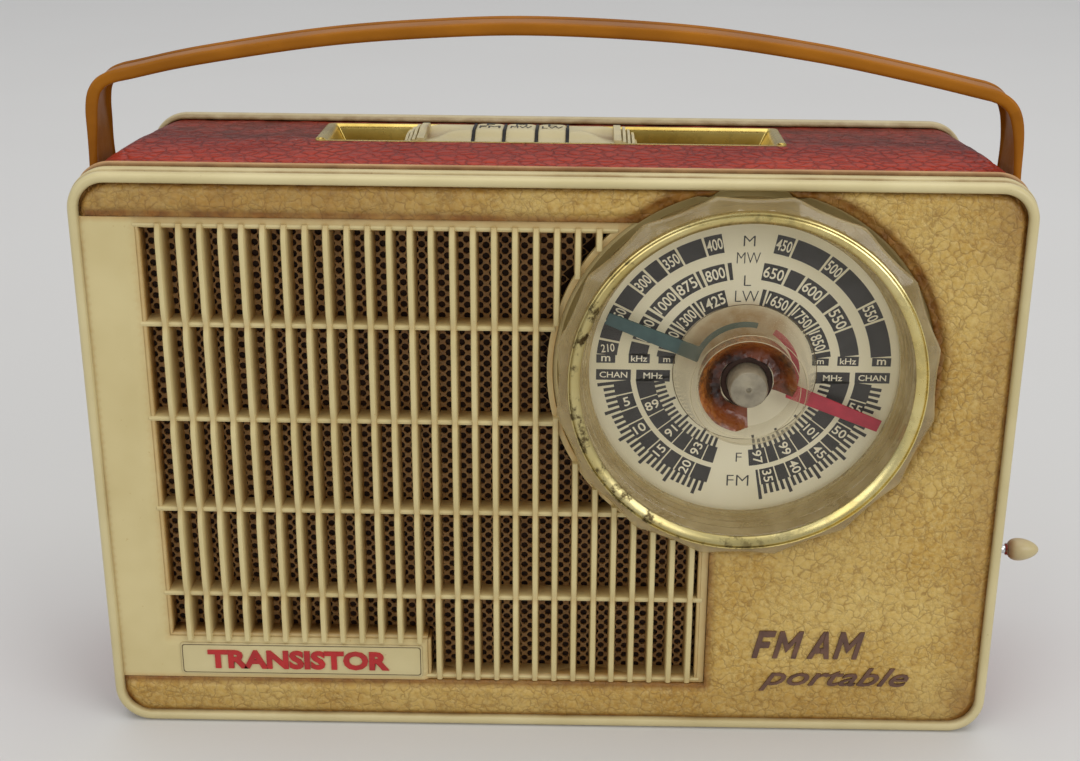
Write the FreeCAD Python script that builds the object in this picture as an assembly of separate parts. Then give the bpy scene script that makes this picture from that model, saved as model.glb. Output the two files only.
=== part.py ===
import FreeCAD, Part
import math
import os

os.makedirs("parts", exist_ok=True)
V = FreeCAD.Vector
EX, EY, EZ = V(1, 0, 0), V(0, 1, 0), V(0, 0, 1)

# ---- cabinet (mm); X right, Y back, Z up, base centre at the origin ----
WIDTH = 280.0            # outside of the front frame
DEPTH = 80.0             # front rim to back cover
FRAME_H = 182.0          # height of the front frame
FRAME_D = 7.0            # the front frame runs this far back
FRAME_R = 11.5           # frame corner radius
LIP = 3.2                # width of the rim seen from the front
RIM_WALL = 2.2           # wall behind the rim
WRAP_R = 10.0            # corner radius of the covered case
WRAP_T = 2.5             # case wall
WRAP_BACK = 78.0         # the case ends here and the back cover starts
CREASE = 40.0            # the top is level to here, then falls to the back
# case sections: distance behind the front rim, half width, height
SECTIONS = ((FRAME_D, 138.3, 182.6), (CREASE, 135.5, 182.6), (WRAP_BACK, 131.4, 180.8))

# ---- dial ----
DIAL_X, DIAL_Z = 57.7, 122.4
RING_R = 52.8            # gold ring
KNOB_R = 57.2            # points of the sixteen-sided clear rim
FACETS = 16
SCALE_D = 8.0            # the printed plate lies this far behind the rim
SCALE_R = 50.5
WELL_R, WELL_OUT = 56.0, 57.2    # the well the knob turns in
LENS_D = 3.4             # front face of the clear window
HUB_R, HUB_D, RECESS_R, HUB_FLOOR = 20.5, -11.0, 14.2, -3.0    # clear hub with a sunk middle
BOSS_R = 5.8
SHAFT_R = 3.0
RUN = 0.05               # radial clearance of a turning fit
POINTER_DEG = 158.0      # green half of the pointer, from +X towards +Z

# ---- grille ----
GRILLE = (-121.2, 47.3, 16.6, 166.2)
MOULDING_X = 49.6        # right edge of the cream moulding
MOULDING_Z = (15.6, 168.7)
BAR_Z = (45.5, 75.0, 105.2, 135.5)
SCREEN_D = 10.0          # the speaker screen lies behind the deep slats
SLATS, SLAT_PITCH, SLAT_W = 28, 6.1, 1.3
BADGE = (-119.4, -38.9, 15.0, 30.2)

# ---- control tray, in the plane of the falling rear top ----
TRAY = (-72.7, 69.8, 2.1, 28.1)
TRAY_DEEP = 7.5
KEYS = (("key_fm", -24.8, -17.1), ("key_medium", -15.4, -7.0), ("key_long", -5.2, 2.5))
SEPARATORS = ((-26.7, -25.0), (-16.9, -15.6), (-6.8, -5.4), (2.7, 4.4))

# ---- handle and aerial ----
HANDLE_D, HANDLE_Z = 38.5, 162.0
LEG_IN, LEG_OUT = 138.0, 140.0
HANDLE_LEG_W, HANDLE_MID_W = 24.0, 17.5
AERIAL_D, AERIAL_Z = 24.0, 54.5
AERIAL_R = (3.6, 3.1, 2.65, 2.2, 1.7)    # outer tube, three sections, end rod
AERIAL_WALL = 0.4
AERIAL_X0, AERIAL_X1 = 24.0, 138.0

# ---- inside ----
SPK_X, SPK_Z, SPK_R = -62.0, 92.0, 50.0
SPK_D = SCREEN_D + 0.8   # the loudspeaker's mounting face, against the screen
BOARD = (-4.0, 116.0, 46.0, 150.0)
BOARD_D = 50.0
HOLDER_D = 46.0          # front of the battery holder


def dep(d):
    """Y of a plane lying d behind the front rim."""
    return d - DEPTH / 2


def box(x0, x1, d0, d1, z0, z1):
    return Part.makeBox(x1 - x0, d1 - d0, z1 - z0, V(x0, dep(d0), z0))


def rod(x, d, z, r, length, axis=EY):
    return Part.makeCylinder(r, length, V(x, dep(d), z), axis)


def ring(x, d, z, r0, r1, length, axis=EY):
    return rod(x, d, z, r1, length, axis).cut(rod(x, d, z, r0, length, axis))


def outline(x0, x1, z0, z1, r, d):
    """Closed rounded rectangle in the plane d behind the rim."""
    y = dep(d)
    k = r * (1 - math.sqrt(0.5))
    p = [V(x0 + r, y, z0), V(x1 - r, y, z0), V(x1 - k, y, z0 + k), V(x1, y, z0 + r),
         V(x1, y, z1 - r), V(x1 - k, y, z1 - k), V(x1 - r, y, z1), V(x0 + r, y, z1),
         V(x0 + k, y, z1 - k), V(x0, y, z1 - r), V(x0, y, z0 + r), V(x0 + k, y, z0 + k)]
    edges = [Part.makeLine(p[0], p[1]), Part.Arc(p[1], p[2], p[3]).toShape(),
             Part.makeLine(p[3], p[4]), Part.Arc(p[4], p[5], p[6]).toShape(),
             Part.makeLine(p[6], p[7]), Part.Arc(p[7], p[8], p[9]).toShape(),
             Part.makeLine(p[9], p[10]), Part.Arc(p[10], p[11], p[0]).toShape()]
    return Part.Wire(edges)


def slab(x0, x1, z0, z1, r, d0, d1):
    return Part.Face(outline(x0, x1, z0, z1, r, d0)).extrude(V(0, d1 - d0, 0))


def frame_slab(inset, r, d0, d1):
    half = WIDTH / 2 - inset
    return slab(-half, half, inset, FRAME_H - inset, r, d0, d1)


def turned(x, z, points, axis_d=0.0):
    """Solid of revolution about the Y axis through (x, z) from (radius, depth) points."""
    pts = [V(x + r, dep(d), z) for r, d in points]
    face = Part.Face(Part.makePolygon(pts + [pts[0]]))
    return face.revolve(V(x, dep(axis_d), z), EY, 360)


def prism_yz(points, x0, x1):
    pts = [V(x0, dep(d), z) for d, z in points]
    return Part.Face(Part.makePolygon(pts + [pts[0]])).extrude(V(x1 - x0, 0, 0))


def dial_disc(r, d0, d1):
    return rod(DIAL_X, d0, DIAL_Z, r, d1 - d0)


def joined(shapes):
    out = shapes[0].multiFuse(shapes[1:]) if len(shapes) > 1 else shapes[0]
    return out.removeSplitter()


def rounded_front(shape, d, r, inner=False):
    """Round the edges lying in the plane d, outer or inner loop."""
    y = dep(d)
    flat = [e for e in shape.Edges
            if abs(e.BoundBox.YMin - y) < 1e-4 and abs(e.BoundBox.YMax - y) < 1e-4]
    reach = WIDTH / 2 - 0.5 * LIP
    far = [e for e in flat if max(abs(e.BoundBox.XMin), abs(e.BoundBox.XMax)) > reach
           or e.BoundBox.ZMax > FRAME_H - 0.5 * LIP or e.BoundBox.ZMin < 0.5 * LIP]
    picked = [e for e in flat if e not in far] if inner else far
    return shape.makeFillet(r, picked)


def wrap_loft(inset, first=FRAME_D, last=WRAP_BACK, drop=0.0):
    """The tapered case: straight-sided between its three sections."""
    def section(a, b, d):
        t = (d - a[0]) / (b[0] - a[0])
        half, top = (a[i] + t * (b[i] - a[i]) - inset for i in (1, 2))
        return outline(-half, half, inset - drop, top, WRAP_R - inset, d)
    s0, s1, s2 = SECTIONS
    front = Part.makeLoft([section(s0, s1, first), section(s0, s1, CREASE)], True, True)
    back = Part.makeLoft([section(s1, s2, CREASE), section(s1, s2, last)], True, True)
    return front.fuse(back)


def half_width(d):
    """Outside half width of the case, d behind the rim."""
    a, b = (SECTIONS[0], SECTIONS[1]) if d < CREASE else (SECTIONS[1], SECTIONS[2])
    return a[1] + (d - a[0]) / (b[0] - a[0]) * (b[1] - a[1])


FALL = math.degrees(math.atan((SECTIONS[1][2] - SECTIONS[2][2]) / (WRAP_BACK - CREASE)))


def on_slope(shape):
    """Move a shape built level behind the crease (w = 0 is Z = 0) onto the falling top."""
    out = shape.copy()
    out.translate(V(0, dep(CREASE), SECTIONS[1][2]))
    out.rotate(V(0, dep(CREASE), SECTIONS[1][2]), EX, -FALL)
    return out


def tbox(x0, x1, u0, u1, w0, w1):
    """Box in tray terms: u back from the crease, w above the top surface."""
    return Part.makeBox(x1 - x0, u1 - u0, w1 - w0, V(x0, u0, w0))


# A plain stroke alphabet on a 4 by 6 grid, for the badge and the panel lettering.
STROKES = {
    "T": ((0, 6, 4, 6), (2, 0, 2, 6)),
    "R": ((0, 0, 0, 6), (0, 6, 4, 6), (4, 6, 4, 3), (0, 3, 4, 3), (1.5, 3, 4, 0)),
    "A": ((0, 0, 2, 6), (2, 6, 4, 0), (1, 2, 3, 2)),
    "N": ((0, 0, 0, 6), (0, 6, 4, 0), (4, 0, 4, 6)),
    "S": ((4, 6, 0, 6), (0, 6, 0, 3), (0, 3, 4, 3), (4, 3, 4, 0), (4, 0, 0, 0)),
    "I": ((2, 0, 2, 6),),
    "O": ((0, 0, 0, 6), (0, 6, 4, 6), (4, 6, 4, 0), (4, 0, 0, 0)),
    "F": ((0, 0, 0, 6), (0, 6, 4, 6), (0, 3, 3, 3)),
    "M": ((0, 0, 0, 6), (0, 6, 2, 2), (2, 2, 4, 6), (4, 6, 4, 0)),
}


def lettering(text, x, z, height, weight, pitch, d0, d1):
    """Raised stroke letters standing from depth d1 forward to d0."""
    unit = height / 6
    out = []
    for i, ch in enumerate(text):
        bars = []
        for ax, az, bx, bz in STROKES.get(ch, ()):
            sx, sz = x + i * pitch + ax * unit * 0.9, z + az * unit
            dx, dz = (bx - ax) * unit * 0.9, (bz - az) * unit
            run = math.hypot(dx, dz)
            bar = Part.makeBox(run + weight, d1 - d0, weight, V(-weight / 2, 0, -weight / 2))
            bar.rotate(V(0, 0, 0), EY, -math.degrees(math.atan2(dz, dx)))
            bar.translate(V(sx, dep(d0), sz))
            bars.append(bar)
        if bars:
            out.append(joined(bars))
    return Part.makeCompound(out)


# ------------------------------------------------------------------ front
def front_frame():
    body = frame_slab(0, FRAME_R, 0, FRAME_D)
    body = body.cut(frame_slab(LIP, FRAME_R - LIP + 1, -1, 3))
    body = body.cut(frame_slab(RIM_WALL, FRAME_R - RIM_WALL + 1, 2, FRAME_D + 1))
    body = rounded_front(body, 0, 1.7)
    return rounded_front(body, 0, 0.9, inner=True)


def panel_area(margin, d0, d1):
    """The C of the gilt panel: top strip, right side and bottom strip."""
    gx0, gx1 = -WIDTH / 2, MOULDING_X + margin
    gz0, gz1 = MOULDING_Z[0] - margin, MOULDING_Z[1] + margin
    inset = RIM_WALL + 0.1 + (margin + 1.2 if margin else 0)
    area = frame_slab(inset, FRAME_R + 1.2 - inset, d0, d1)
    area = area.cut(box(gx0, gx1, d0 - 1, d1 + 1, gz0, gz1))
    return area.cut(dial_disc(WELL_OUT - 0.4 + margin, d0 - 1, d1 + 1))


def front_panel():
    return joined([panel_area(0, 2.0, 4.2), panel_area(2.0, 1.2, 2.0)])


def slat_profile(z0, z1):
    """One grille slat: its front bulges forward between two bars."""
    back, end, bulge, lead = SCREEN_D, 2.6, 0.7, 3.2
    pts = [(back, z0), (end, z0), (1.3, z0 + 0.35 * lead), (bulge, z0 + lead),
           (bulge, z1 - lead), (1.3, z1 - 0.35 * lead), (end, z1), (back, z1)]
    return pts


def grille_panel():
    x0, x1, z0, z1 = GRILLE
    m0, m1 = MOULDING_Z[0] + 0.1, MOULDING_Z[1] - 0.1
    plate = frame_slab(RIM_WALL + 0.1, 8.0, 3.0, 5.0).common(
        box(-WIDTH, MOULDING_X - 0.1, 2, 6, m0, m1))
    plate = plate.fuse(frame_slab(RIM_WALL + 0.1, 8.0, 2.0, 3.0).common(
        box(-WIDTH, x0 - 1.4, 1.5, 3.5, m0, m1)))
    plate = plate.cut(dial_disc(WELL_OUT + 0.1, 0, 8))
    window = box(x0, x1, -2, 9, z0, z1)
    window = window.cut(dial_disc(WELL_OUT + 1.9, -3, 10))
    window = window.cut(box(BADGE[0] - 5, BADGE[1], -3, 10, 10, BADGE[3]))
    rows = [z0] + list(BAR_Z) + [z1]
    slats = []
    for i in range(SLATS):
        x = x0 + 0.6 + SLAT_PITCH * i
        for lo, hi in zip(rows[:-1], rows[1:]):
            slats.append(prism_yz(slat_profile(lo + 0.9, hi - 0.9), x - SLAT_W / 2, x + SLAT_W / 2))
    bars = [box(x0 - 0.5, x1 + 0.5, 2.0, SCREEN_D, z - 1.0, z + 1.0) for z in BAR_Z]
    bars += [box(x0 - 0.5, x1 + 0.5, 2.6, SCREEN_D, z0 - 0.6, z0 + 1.0),
             box(x0 - 0.5, x1 + 0.5, 2.6, SCREEN_D, z1 - 1.0, z1 + 0.6)]
    keep = box(x0 - 0.5, x1 + 0.5, -3, SCREEN_D + 3, z0 - 0.6, z1 + 0.6)
    keep = keep.cut(dial_disc(WELL_OUT + 1.0, -3, SCREEN_D + 4))
    keep = keep.cut(box(BADGE[0] - 6, BADGE[1] - 0.6, -4, SCREEN_D + 4, 9, BADGE[3] - 0.6))
    bank = bars[0].multiFuse(bars[1:] + slats).common(keep)
    side = box(x0 - 1.4, x0, 4.0, SCREEN_D, BADGE[3], z1).fuse(
        box(x1, x1 + 1.4, 4.0, SCREEN_D, z0, DIAL_Z - WELL_OUT - 1.9))
    return plate.cut(window).fuse(bank).fuse(side).removeSplitter()


def speaker_screen():
    x0, x1, z0, z1 = GRILLE
    sheet = box(x0 - 3, x1 + 2, SCREEN_D, SPK_D, z0 - 2, z1 + 2)
    return sheet.cut(dial_disc(WELL_OUT + 0.6, SCREEN_D - 1, SPK_D + 1))


def badge_plate():
    x0, x1, z0, z1 = BADGE
    return slab(x0 + 1.4, x1 - 1.6, z0 + 2.0, z1 - 1.8, 1.5, 2.2, 3.0)


def dial_well():
    wall = ring(DIAL_X, 4.2, DIAL_Z, WELL_R, WELL_OUT, 8.2)
    floor = dial_disc(WELL_OUT, SCALE_D + 1.2, 12.4)
    posts = [rod(DIAL_X + x, 12.4, DIAL_Z + z, 3.0, 5.6) for x, z in ((-16, 16), (16, 16), (0, -17))]
    body = joined([wall, floor] + posts)
    return body.cut(dial_disc(SHAFT_R + 0.6, 5, 20))


def dial_scale():
    return dial_disc(SCALE_R, SCALE_D, SCALE_D + 1.2).cut(dial_disc(SHAFT_R + 0.6, 5, 20))


# ------------------------------------------------------------------ tuning knob
def knob_body():
    profile = [(0, HUB_FLOOR), (RECESS_R, HUB_FLOOR), (RECESS_R, HUB_D + 0.4),
               (RECESS_R + 0.4, HUB_D), (HUB_R - 1.1, HUB_D), (HUB_R - 0.7, HUB_D + 0.4),
               (HUB_R, LENS_D), (46.5, LENS_D), (49.2, -6.8), (53.4, -6.8), (KNOB_R, -5.2),
               (KNOB_R, -3.4), (54.8, 4.2), (53.6, 6.8), (47.5, 6.8), (46.5, 5.8), (7.0, 5.8),
               (7.0, 7.4), (0, 7.4)]
    body = turned(DIAL_X, DIAL_Z, profile)
    corner = [V(DIAL_X + KNOB_R * math.sin(a), dep(-12), DIAL_Z + KNOB_R * math.cos(a))
              for a in [math.radians(360 / FACETS * (i + 0.5)) for i in range(FACETS)]]
    sides = Part.Face(Part.makePolygon(corner + [corner[0]])).extrude(V(0, 30, 0))
    return body.common(sides).cut(dial_disc(SHAFT_R, 4.4, 9.0))


def knob_ring():
    return turned(DIAL_X, DIAL_Z, [(49.2, -6.8), (49.2, -7.4), (51.7, -8.9), (51.9, -8.3),
                                   (52.2, -8.3), (52.3, -9.0), (RING_R, -8.8), (52.6, -6.8)])


def pointer(angle):
    bar = box(DIAL_X + HUB_R - 1, DIAL_X + 44.5, LENS_D - 0.3, LENS_D, DIAL_Z - 2.6, DIAL_Z + 2.6)
    bar = bar.cut(dial_disc(HUB_R, 0, 5))
    bar.rotate(V(DIAL_X, 0, DIAL_Z), EY, -angle)
    return bar


def hub_boss():
    return turned(DIAL_X, DIAL_Z, [(0, HUB_D + 0.7), (1.3, HUB_D), (BOSS_R - 0.6, HUB_D),
                                   (BOSS_R, HUB_D + 0.6), (BOSS_R, HUB_FLOOR), (0, HUB_FLOOR)])


def hub_glue():
    return turned(DIAL_X, DIAL_Z, [(BOSS_R, -4.4), (7.6, -3.7), (11.6, -3.8), (RECESS_R, -5.2),
                                   (RECESS_R, HUB_FLOOR), (BOSS_R, HUB_FLOOR)])


def tuning_shaft():
    return dial_disc(SHAFT_R, 4.4, 49.0)


GANG_D0, GANG_D1, PLATES, PLATE_PITCH, PLATE_T = 18.0, 45.0, 7, 3.2, 0.8


def gang_frame():
    x, z, h = DIAL_X, DIAL_Z, 20.0
    ends = [box(x - h, x + h, d, d + 1.2, z - h - 3, z + h) for d in (GANG_D0, GANG_D1)]
    base = box(x - h, x + h, GANG_D0, GANG_D1 + 1.2, z - h - 4.2, z - h - 3)
    posts = [rod(x + s * 15, GANG_D1 + 1.2, z + 14, 2.5, BOARD_D - GANG_D1 - 1.2) for s in (-1, 1)]
    hole = dial_disc(SHAFT_R + RUN, GANG_D0 - 2, GANG_D1 + 3)
    return joined(ends + [base] + posts).cut(hole)


def half_disc(r0, r1, d, lower):
    disc = ring(DIAL_X, d, DIAL_Z, r0, r1, PLATE_T)
    cut = box(DIAL_X - 30, DIAL_X + 30, d - 1, d + 2, DIAL_Z - (0 if lower else 30),
              DIAL_Z + (30 if lower else 0))
    return disc.cut(cut)


def gang_stator():
    first = GANG_D0 + 3.2
    plates = [half_disc(6.0, 17.0, first + i * PLATE_PITCH, True) for i in range(PLATES)]
    last = first + PLATE_PITCH * (PLATES - 1) + PLATE_T
    comb = box(DIAL_X - 5, DIAL_X + 5, first, last, DIAL_Z - 19.0, DIAL_Z - 16.2)
    feet = box(DIAL_X - 4, DIAL_X + 4, first + 4, last - 4, DIAL_Z - 23.0, DIAL_Z - 19.0)
    return joined(plates + [comb, feet])


def gang_rotor():
    first = GANG_D0 + 3.2 + PLATE_PITCH / 2
    plates = [half_disc(SHAFT_R, 15.6, first + i * PLATE_PITCH, False) for i in range(PLATES - 1)]
    sleeve = ring(DIAL_X, first, DIAL_Z, SHAFT_R, 4.6, PLATE_PITCH * (PLATES - 2) + PLATE_T)
    return joined(plates + [sleeve])


# ------------------------------------------------------------------ case
def case_wrap():
    solid = wrap_loft(0, drop=0.3).cut(box(-WIDTH, WIDTH, 0, DEPTH, -5, 0))
    shell = solid.cut(wrap_loft(WRAP_T, FRAME_D - 1, WRAP_BACK + 1))
    x0, x1, u0, u1 = TRAY
    shell = shell.cut(on_slope(tbox(x0 - 0.1, x1 + 0.1, u0 - 0.1, u1 + 0.1, -9, 5)))
    shell = shell.cut(rod(120, AERIAL_D, AERIAL_Z, 5.0, 30, EX))
    for s in (-1, 1):
        shell = shell.cut(rod(s * 125, HANDLE_D, HANDLE_Z, 2.5, 20, V(s, 0, 0)))
    return shell.removeSplitter()


def piping_bead():
    half, top = SECTIONS[0][1], SECTIONS[0][2]
    grow, wide = 1.1, 2.4
    bead = slab(-half - grow, half + grow, -3, top + grow - 0.2, WRAP_R + grow, FRAME_D, FRAME_D + wide)
    y0, y1 = dep(FRAME_D), dep(FRAME_D + wide)
    rims = [e for e in bead.Edges if abs(e.BoundBox.YMin - e.BoundBox.YMax) < 1e-4
            and (abs(e.BoundBox.YMin - y0) < 1e-4 or abs(e.BoundBox.YMin - y1) < 1e-4)]
    bead = bead.makeChamfer(0.7, rims)
    bead = bead.cut(slab(-half, half, 0, top, WRAP_R, FRAME_D - 1, FRAME_D + wide + 1))
    return bead.cut(box(-WIDTH, WIDTH, 0, 60, -10, 12.0))


def back_cover():
    half, top = SECTIONS[2][1] + 0.3, SECTIONS[2][2] + 0.3
    plate = slab(-half, half, 0.4, top, WRAP_R, WRAP_BACK, DEPTH)
    y = dep(DEPTH)
    edge = [e for e in plate.Edges if abs(e.BoundBox.YMin - y) < 1e-4 and abs(e.BoundBox.YMax - y) < 1e-4]
    plate = plate.makeFillet(1.2, edge)
    lip = slab(-half + 3.2, half - 3.2, 3.2, top - 3.2, WRAP_R - 3, WRAP_BACK - 2, WRAP_BACK)
    lip = lip.cut(slab(-half + 5.2, half - 5.2, 5.2, top - 5.2, WRAP_R - 5, WRAP_BACK - 3, WRAP_BACK + 1))
    body = plate.fuse(lip)
    slots = [slab(x - 1.4, x + 1.4, z, z + 24, 1.3, WRAP_BACK - 4, DEPTH + 2)
             for x in [-98 + 8 * i for i in range(11)] for z in (72, 104)]
    slots += [slab(x - 1.4, x + 1.4, 118, 142, 1.3, WRAP_BACK - 4, DEPTH + 2)
              for x in [26 + 8 * i for i in range(9)]]
    body = body.cut(Part.makeCompound(slots))
    for x in (-118, 118):
        body = body.cut(rod(x, WRAP_BACK - 4, 90, 2.2, 10))
    return body.removeSplitter()


def back_screws():
    out = []
    for x in (-118, 118):
        head = rod(x, DEPTH, 90, 6.0, 1.6).fuse(rod(x, WRAP_BACK - 6, 90, 2.2, 8))
        out.append(head.cut(box(x - 0.8, x + 0.8, DEPTH + 0.8, DEPTH + 3, 82, 98)).removeSplitter())
    return Part.makeCompound(out)


def cover_bosses():
    """Blocks on the side walls that take the two back cover screws."""
    out = []
    for s in (-1, 1):
        wall = box(-200, 200, 58, WRAP_BACK - 4.5, 82, 98).common(wrap_loft(WRAP_T))
        block = wall.common(box(*sorted((s * 112, s * 140)), 50, 80, 70, 110))
        out.append(block.cut(rod(s * 118, WRAP_BACK - 8, 90, 2.2 + RUN, 8)))
    return Part.makeCompound(out)


# ------------------------------------------------------------------ controls on top
def control_tray():
    x0, x1, u0, u1 = TRAY
    body = tbox(x0, x1, u0, u1, -TRAY_DEEP, 0).fuse(tbox(x0 - 1.3, x1 + 1.3, u0 - 1.3, u1 + 0.9, 0, 0.5))
    body = body.cut(tbox(x0 + 0.9, x1 - 0.9, u0 + 0.4, u1 - 0.4, -TRAY_DEEP + 1.2, 5))
    for _, k0, k1 in KEYS:
        body = body.cut(tbox((k0 + k1) / 2 - 1.7, (k0 + k1) / 2 + 1.7, 9.8, 20.2, -20, 0))
    body = body.cut(tbox(-62.3, -36.7, 13.7, 17.3, -20, 0))
    body = body.cut(tbox(14.2, 60.0, 13.7, 17.3, -20, 0))
    return on_slope(body.removeSplitter())


def key_separators():
    return Part.makeCompound([on_slope(tbox(a, b, 2.8, 27.4, -6.3, 0.3)) for a, b in SEPARATORS])


def band_key(x0, x1):
    cap = tbox(x0, x1, 3.0, 27.2, -3.2, 0.7)
    top = [e for e in cap.Edges if abs(e.BoundBox.ZMin - 0.7) < 1e-4 and abs(e.BoundBox.ZMax - 0.7) < 1e-4]
    cap = cap.makeFillet(0.8, top)
    mid = (x0 + x1) / 2
    stem = tbox(mid - 1.5, mid + 1.5, 10.0, 20.0, -14.0, -3.0)
    return on_slope(cap.fuse(stem).removeSplitter())


def slider(x0, x1, grip0, grip1, stem):
    """A slider cap: a low tapered shoe with a ridged grip at its outer end."""
    shoe = tbox(x0, x1, 3.0, 27.2, -6.1, -0.2)
    top = [e for e in shoe.Edges if abs(e.BoundBox.ZMin + 0.2) < 1e-4 and abs(e.BoundBox.ZMax + 0.2) < 1e-4]
    shoe = shoe.makeFillet(0.6, top)
    ridges = []
    count = 4
    step = (grip1 - grip0) / count
    for i in range(count):
        a = grip0 + i * step
        ridges.append(tbox(a + 0.25, a + step - 0.45, 3.8, 26.4, -0.5, 0.8))
    pin = tbox(stem, stem + 3.0, 14.0, 17.0, -12.0, -6.0)
    return on_slope(joined([shoe, pin] + ridges))


def switch_bank():
    body = tbox(-28, 6, 6, 24, -27, -TRAY_DEEP)
    for _, k0, k1 in KEYS:
        body = body.cut(tbox((k0 + k1) / 2 - 1.7, (k0 + k1) / 2 + 1.7, 9.8, 20.2, -21, 0))
    pins = [tbox(-26 + 4 * i, -25 + 4 * i, u, u + 0.6, -30, -27) for i in range(8) for u in (9, 20)]
    return on_slope(joined([body] + pins))


def slide_pot(x0, x1, slot0, slot1):
    body = tbox(x0, x1, 9, 22, -16, -TRAY_DEEP)
    body = body.cut(tbox(slot0, slot1, 13.7, 17.3, -13, 0))
    tags = [tbox(x, x + 1.2, 12, 15, -19, -16) for x in (x0 + 2, (x0 + x1) / 2, x1 - 3.2)]
    return on_slope(joined([body] + tags))


# ------------------------------------------------------------------ handle
# Top surface of the carrying strap in (x, z); it sags a little to the right.
STRAP = ((-140.0, 180.0), (-140.0, 187.0), (-140.0, 193.5), (-139.0, 198.8), (-136.4, 202.4),
         (-132.5, 204.3), (-127.0, 205.6), (-108.0, 209.8), (-72.0, 215.6), (-40.0, 218.6),
         (-5.0, 219.9), (40.0, 217.9), (77.0, 213.1), (106.0, 207.5), (127.0, 202.8),
         (131.5, 201.7), (135.0, 200.0), (137.8, 197.0), (139.4, 192.4), (140.0, 186.0),
         (140.0, 178.0))
STRAP_T = 2.0


def strap_edge(offset):
    """The strap's edge curve in the XZ plane, moved inward by offset along its normal."""
    pts = []
    for i, (x, z) in enumerate(STRAP):
        ax, az = STRAP[max(i - 1, 0)]
        bx, bz = STRAP[min(i + 1, len(STRAP) - 1)]
        run = math.hypot(bx - ax, bz - az)
        pts.append(V(x + offset * (bz - az) / run, 0, z - offset * (bx - ax) / run))
    curve = Part.BSplineCurve()
    curve.interpolate(pts)
    leg = LEG_OUT - offset
    return V(-leg, 0, HANDLE_Z), V(leg, 0, HANDLE_Z), curve.toShape(), pts[0], pts[-1]


def handle():
    a0, a1, outer, l0, r0 = strap_edge(0)
    b0, b1, inner, m0, n0 = strap_edge(STRAP_T)
    wire = Part.Wire(Part.__sortEdges__([
        Part.makeLine(a0, l0), outer, Part.makeLine(r0, a1), Part.makeLine(a1, b1),
        Part.makeLine(b1, n0), inner, Part.makeLine(m0, b0), Part.makeLine(b0, a0)]))
    half = HANDLE_LEG_W / 2
    band = Part.Face(wire)
    band.translate(V(0, dep(HANDLE_D) - half, 0))
    band = band.extrude(V(0, 2 * half, 0))
    # plan shape: full width at the legs, narrower over the middle
    mid = HANDLE_MID_W / 2
    plan = []
    for s in (-1, 1):
        pts = [V(x, dep(HANDLE_D) + s * w, 140) for x, w in
               ((-150, half), (-132, half), (-112, mid + 0.6), (-90, mid), (90, mid),
                (112, mid + 0.6), (132, half), (150, half))]
        plan.append(pts if s < 0 else pts[::-1])
    edges = []
    for pts in plan:
        curve = Part.BSplineCurve()
        curve.interpolate(pts[1:4])
        other = Part.BSplineCurve()
        other.interpolate(pts[4:7])
        edges += [Part.makeLine(pts[0], pts[1]), curve.toShape(), Part.makeLine(pts[3], pts[4]),
                  other.toShape(), Part.makeLine(pts[6], pts[7])]
    edges += [Part.makeLine(plan[0][-1], plan[1][0]), Part.makeLine(plan[1][-1], plan[0][0])]
    waist = Part.Face(Part.Wire(Part.__sortEdges__(edges))).extrude(V(0, 0, 100))
    band = band.common(waist)
    ears = [rod(s * LEG_IN, HANDLE_D, HANDLE_Z, half, LEG_OUT - LEG_IN, V(s, 0, 0)) for s in (-1, 1)]
    body = joined([band] + ears)
    for s in (-1, 1):
        body = body.cut(rod(s * 130, HANDLE_D, HANDLE_Z, 2.5 + RUN, 20, V(s, 0, 0)))
    return body


def handle_pins():
    out = []
    side = half_width(HANDLE_D)
    for s in (-1, 1):
        inner = side - WRAP_T - 4
        pin = rod(s * inner, HANDLE_D, HANDLE_Z, 2.5, LEG_OUT + 2.2 - inner, V(s, 0, 0))
        head = rod(s * (LEG_OUT + 0.2), HANDLE_D, HANDLE_Z, 6.0, 2.0, V(s, 0, 0))
        head = head.makeFillet(0.9, [e for e in head.Edges if abs(abs(e.BoundBox.XMin) - LEG_OUT - 2.2) < 1e-3
                                     and abs(e.BoundBox.XMin - e.BoundBox.XMax) < 1e-4])
        spacer = rod(s * (side - 1.5), HANDLE_D, HANDLE_Z, 6.0, LEG_IN - 0.1 - side + 1.5, V(s, 0, 0))
        spacer = spacer.cut(wrap_loft(0))
        nut = rod(s * (side - WRAP_T - 3.5), HANDLE_D, HANDLE_Z, 5.0, 5, V(s, 0, 0)).common(wrap_loft(WRAP_T))
        out.append(joined([pin.fuse(spacer), head, nut]))
    return Part.makeCompound(out)


# ------------------------------------------------------------------ aerial
def aerial_tube(i):
    """Tube i of the telescope; the outer one is fixed in the case."""
    r = AERIAL_R[i]
    x0 = AERIAL_X0 + 2.0 * i
    x1 = AERIAL_X1 + 1.4 * i
    body = rod(x0, AERIAL_D, AERIAL_Z, r, x1 - x0, EX)
    if i < len(AERIAL_R) - 1:
        bore = r - AERIAL_WALL
        start = x0 + 1.0
        body = body.cut(rod(start, AERIAL_D, AERIAL_Z, bore, x1 - start + 1, EX))
    return body


def aerial_tip():
    r = AERIAL_R[-1]
    x = AERIAL_X1 + 1.4 * (len(AERIAL_R) - 1)
    pts = [(0, 0), (r, 0), (r + 0.4, 1.0), (2.2, 2.0), (3.2, 2.8), (3.7, 4.4), (3.7, 9.0),
           (3.3, 11.4), (2.2, 13.6), (0, 14.6)]
    face = Part.Face(Part.makePolygon([V(x + a, dep(AERIAL_D), AERIAL_Z + b) for b, a in pts]
                                      + [V(x, dep(AERIAL_D), AERIAL_Z)]))
    return face.revolve(V(x, dep(AERIAL_D), AERIAL_Z), EX, 360)


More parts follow.
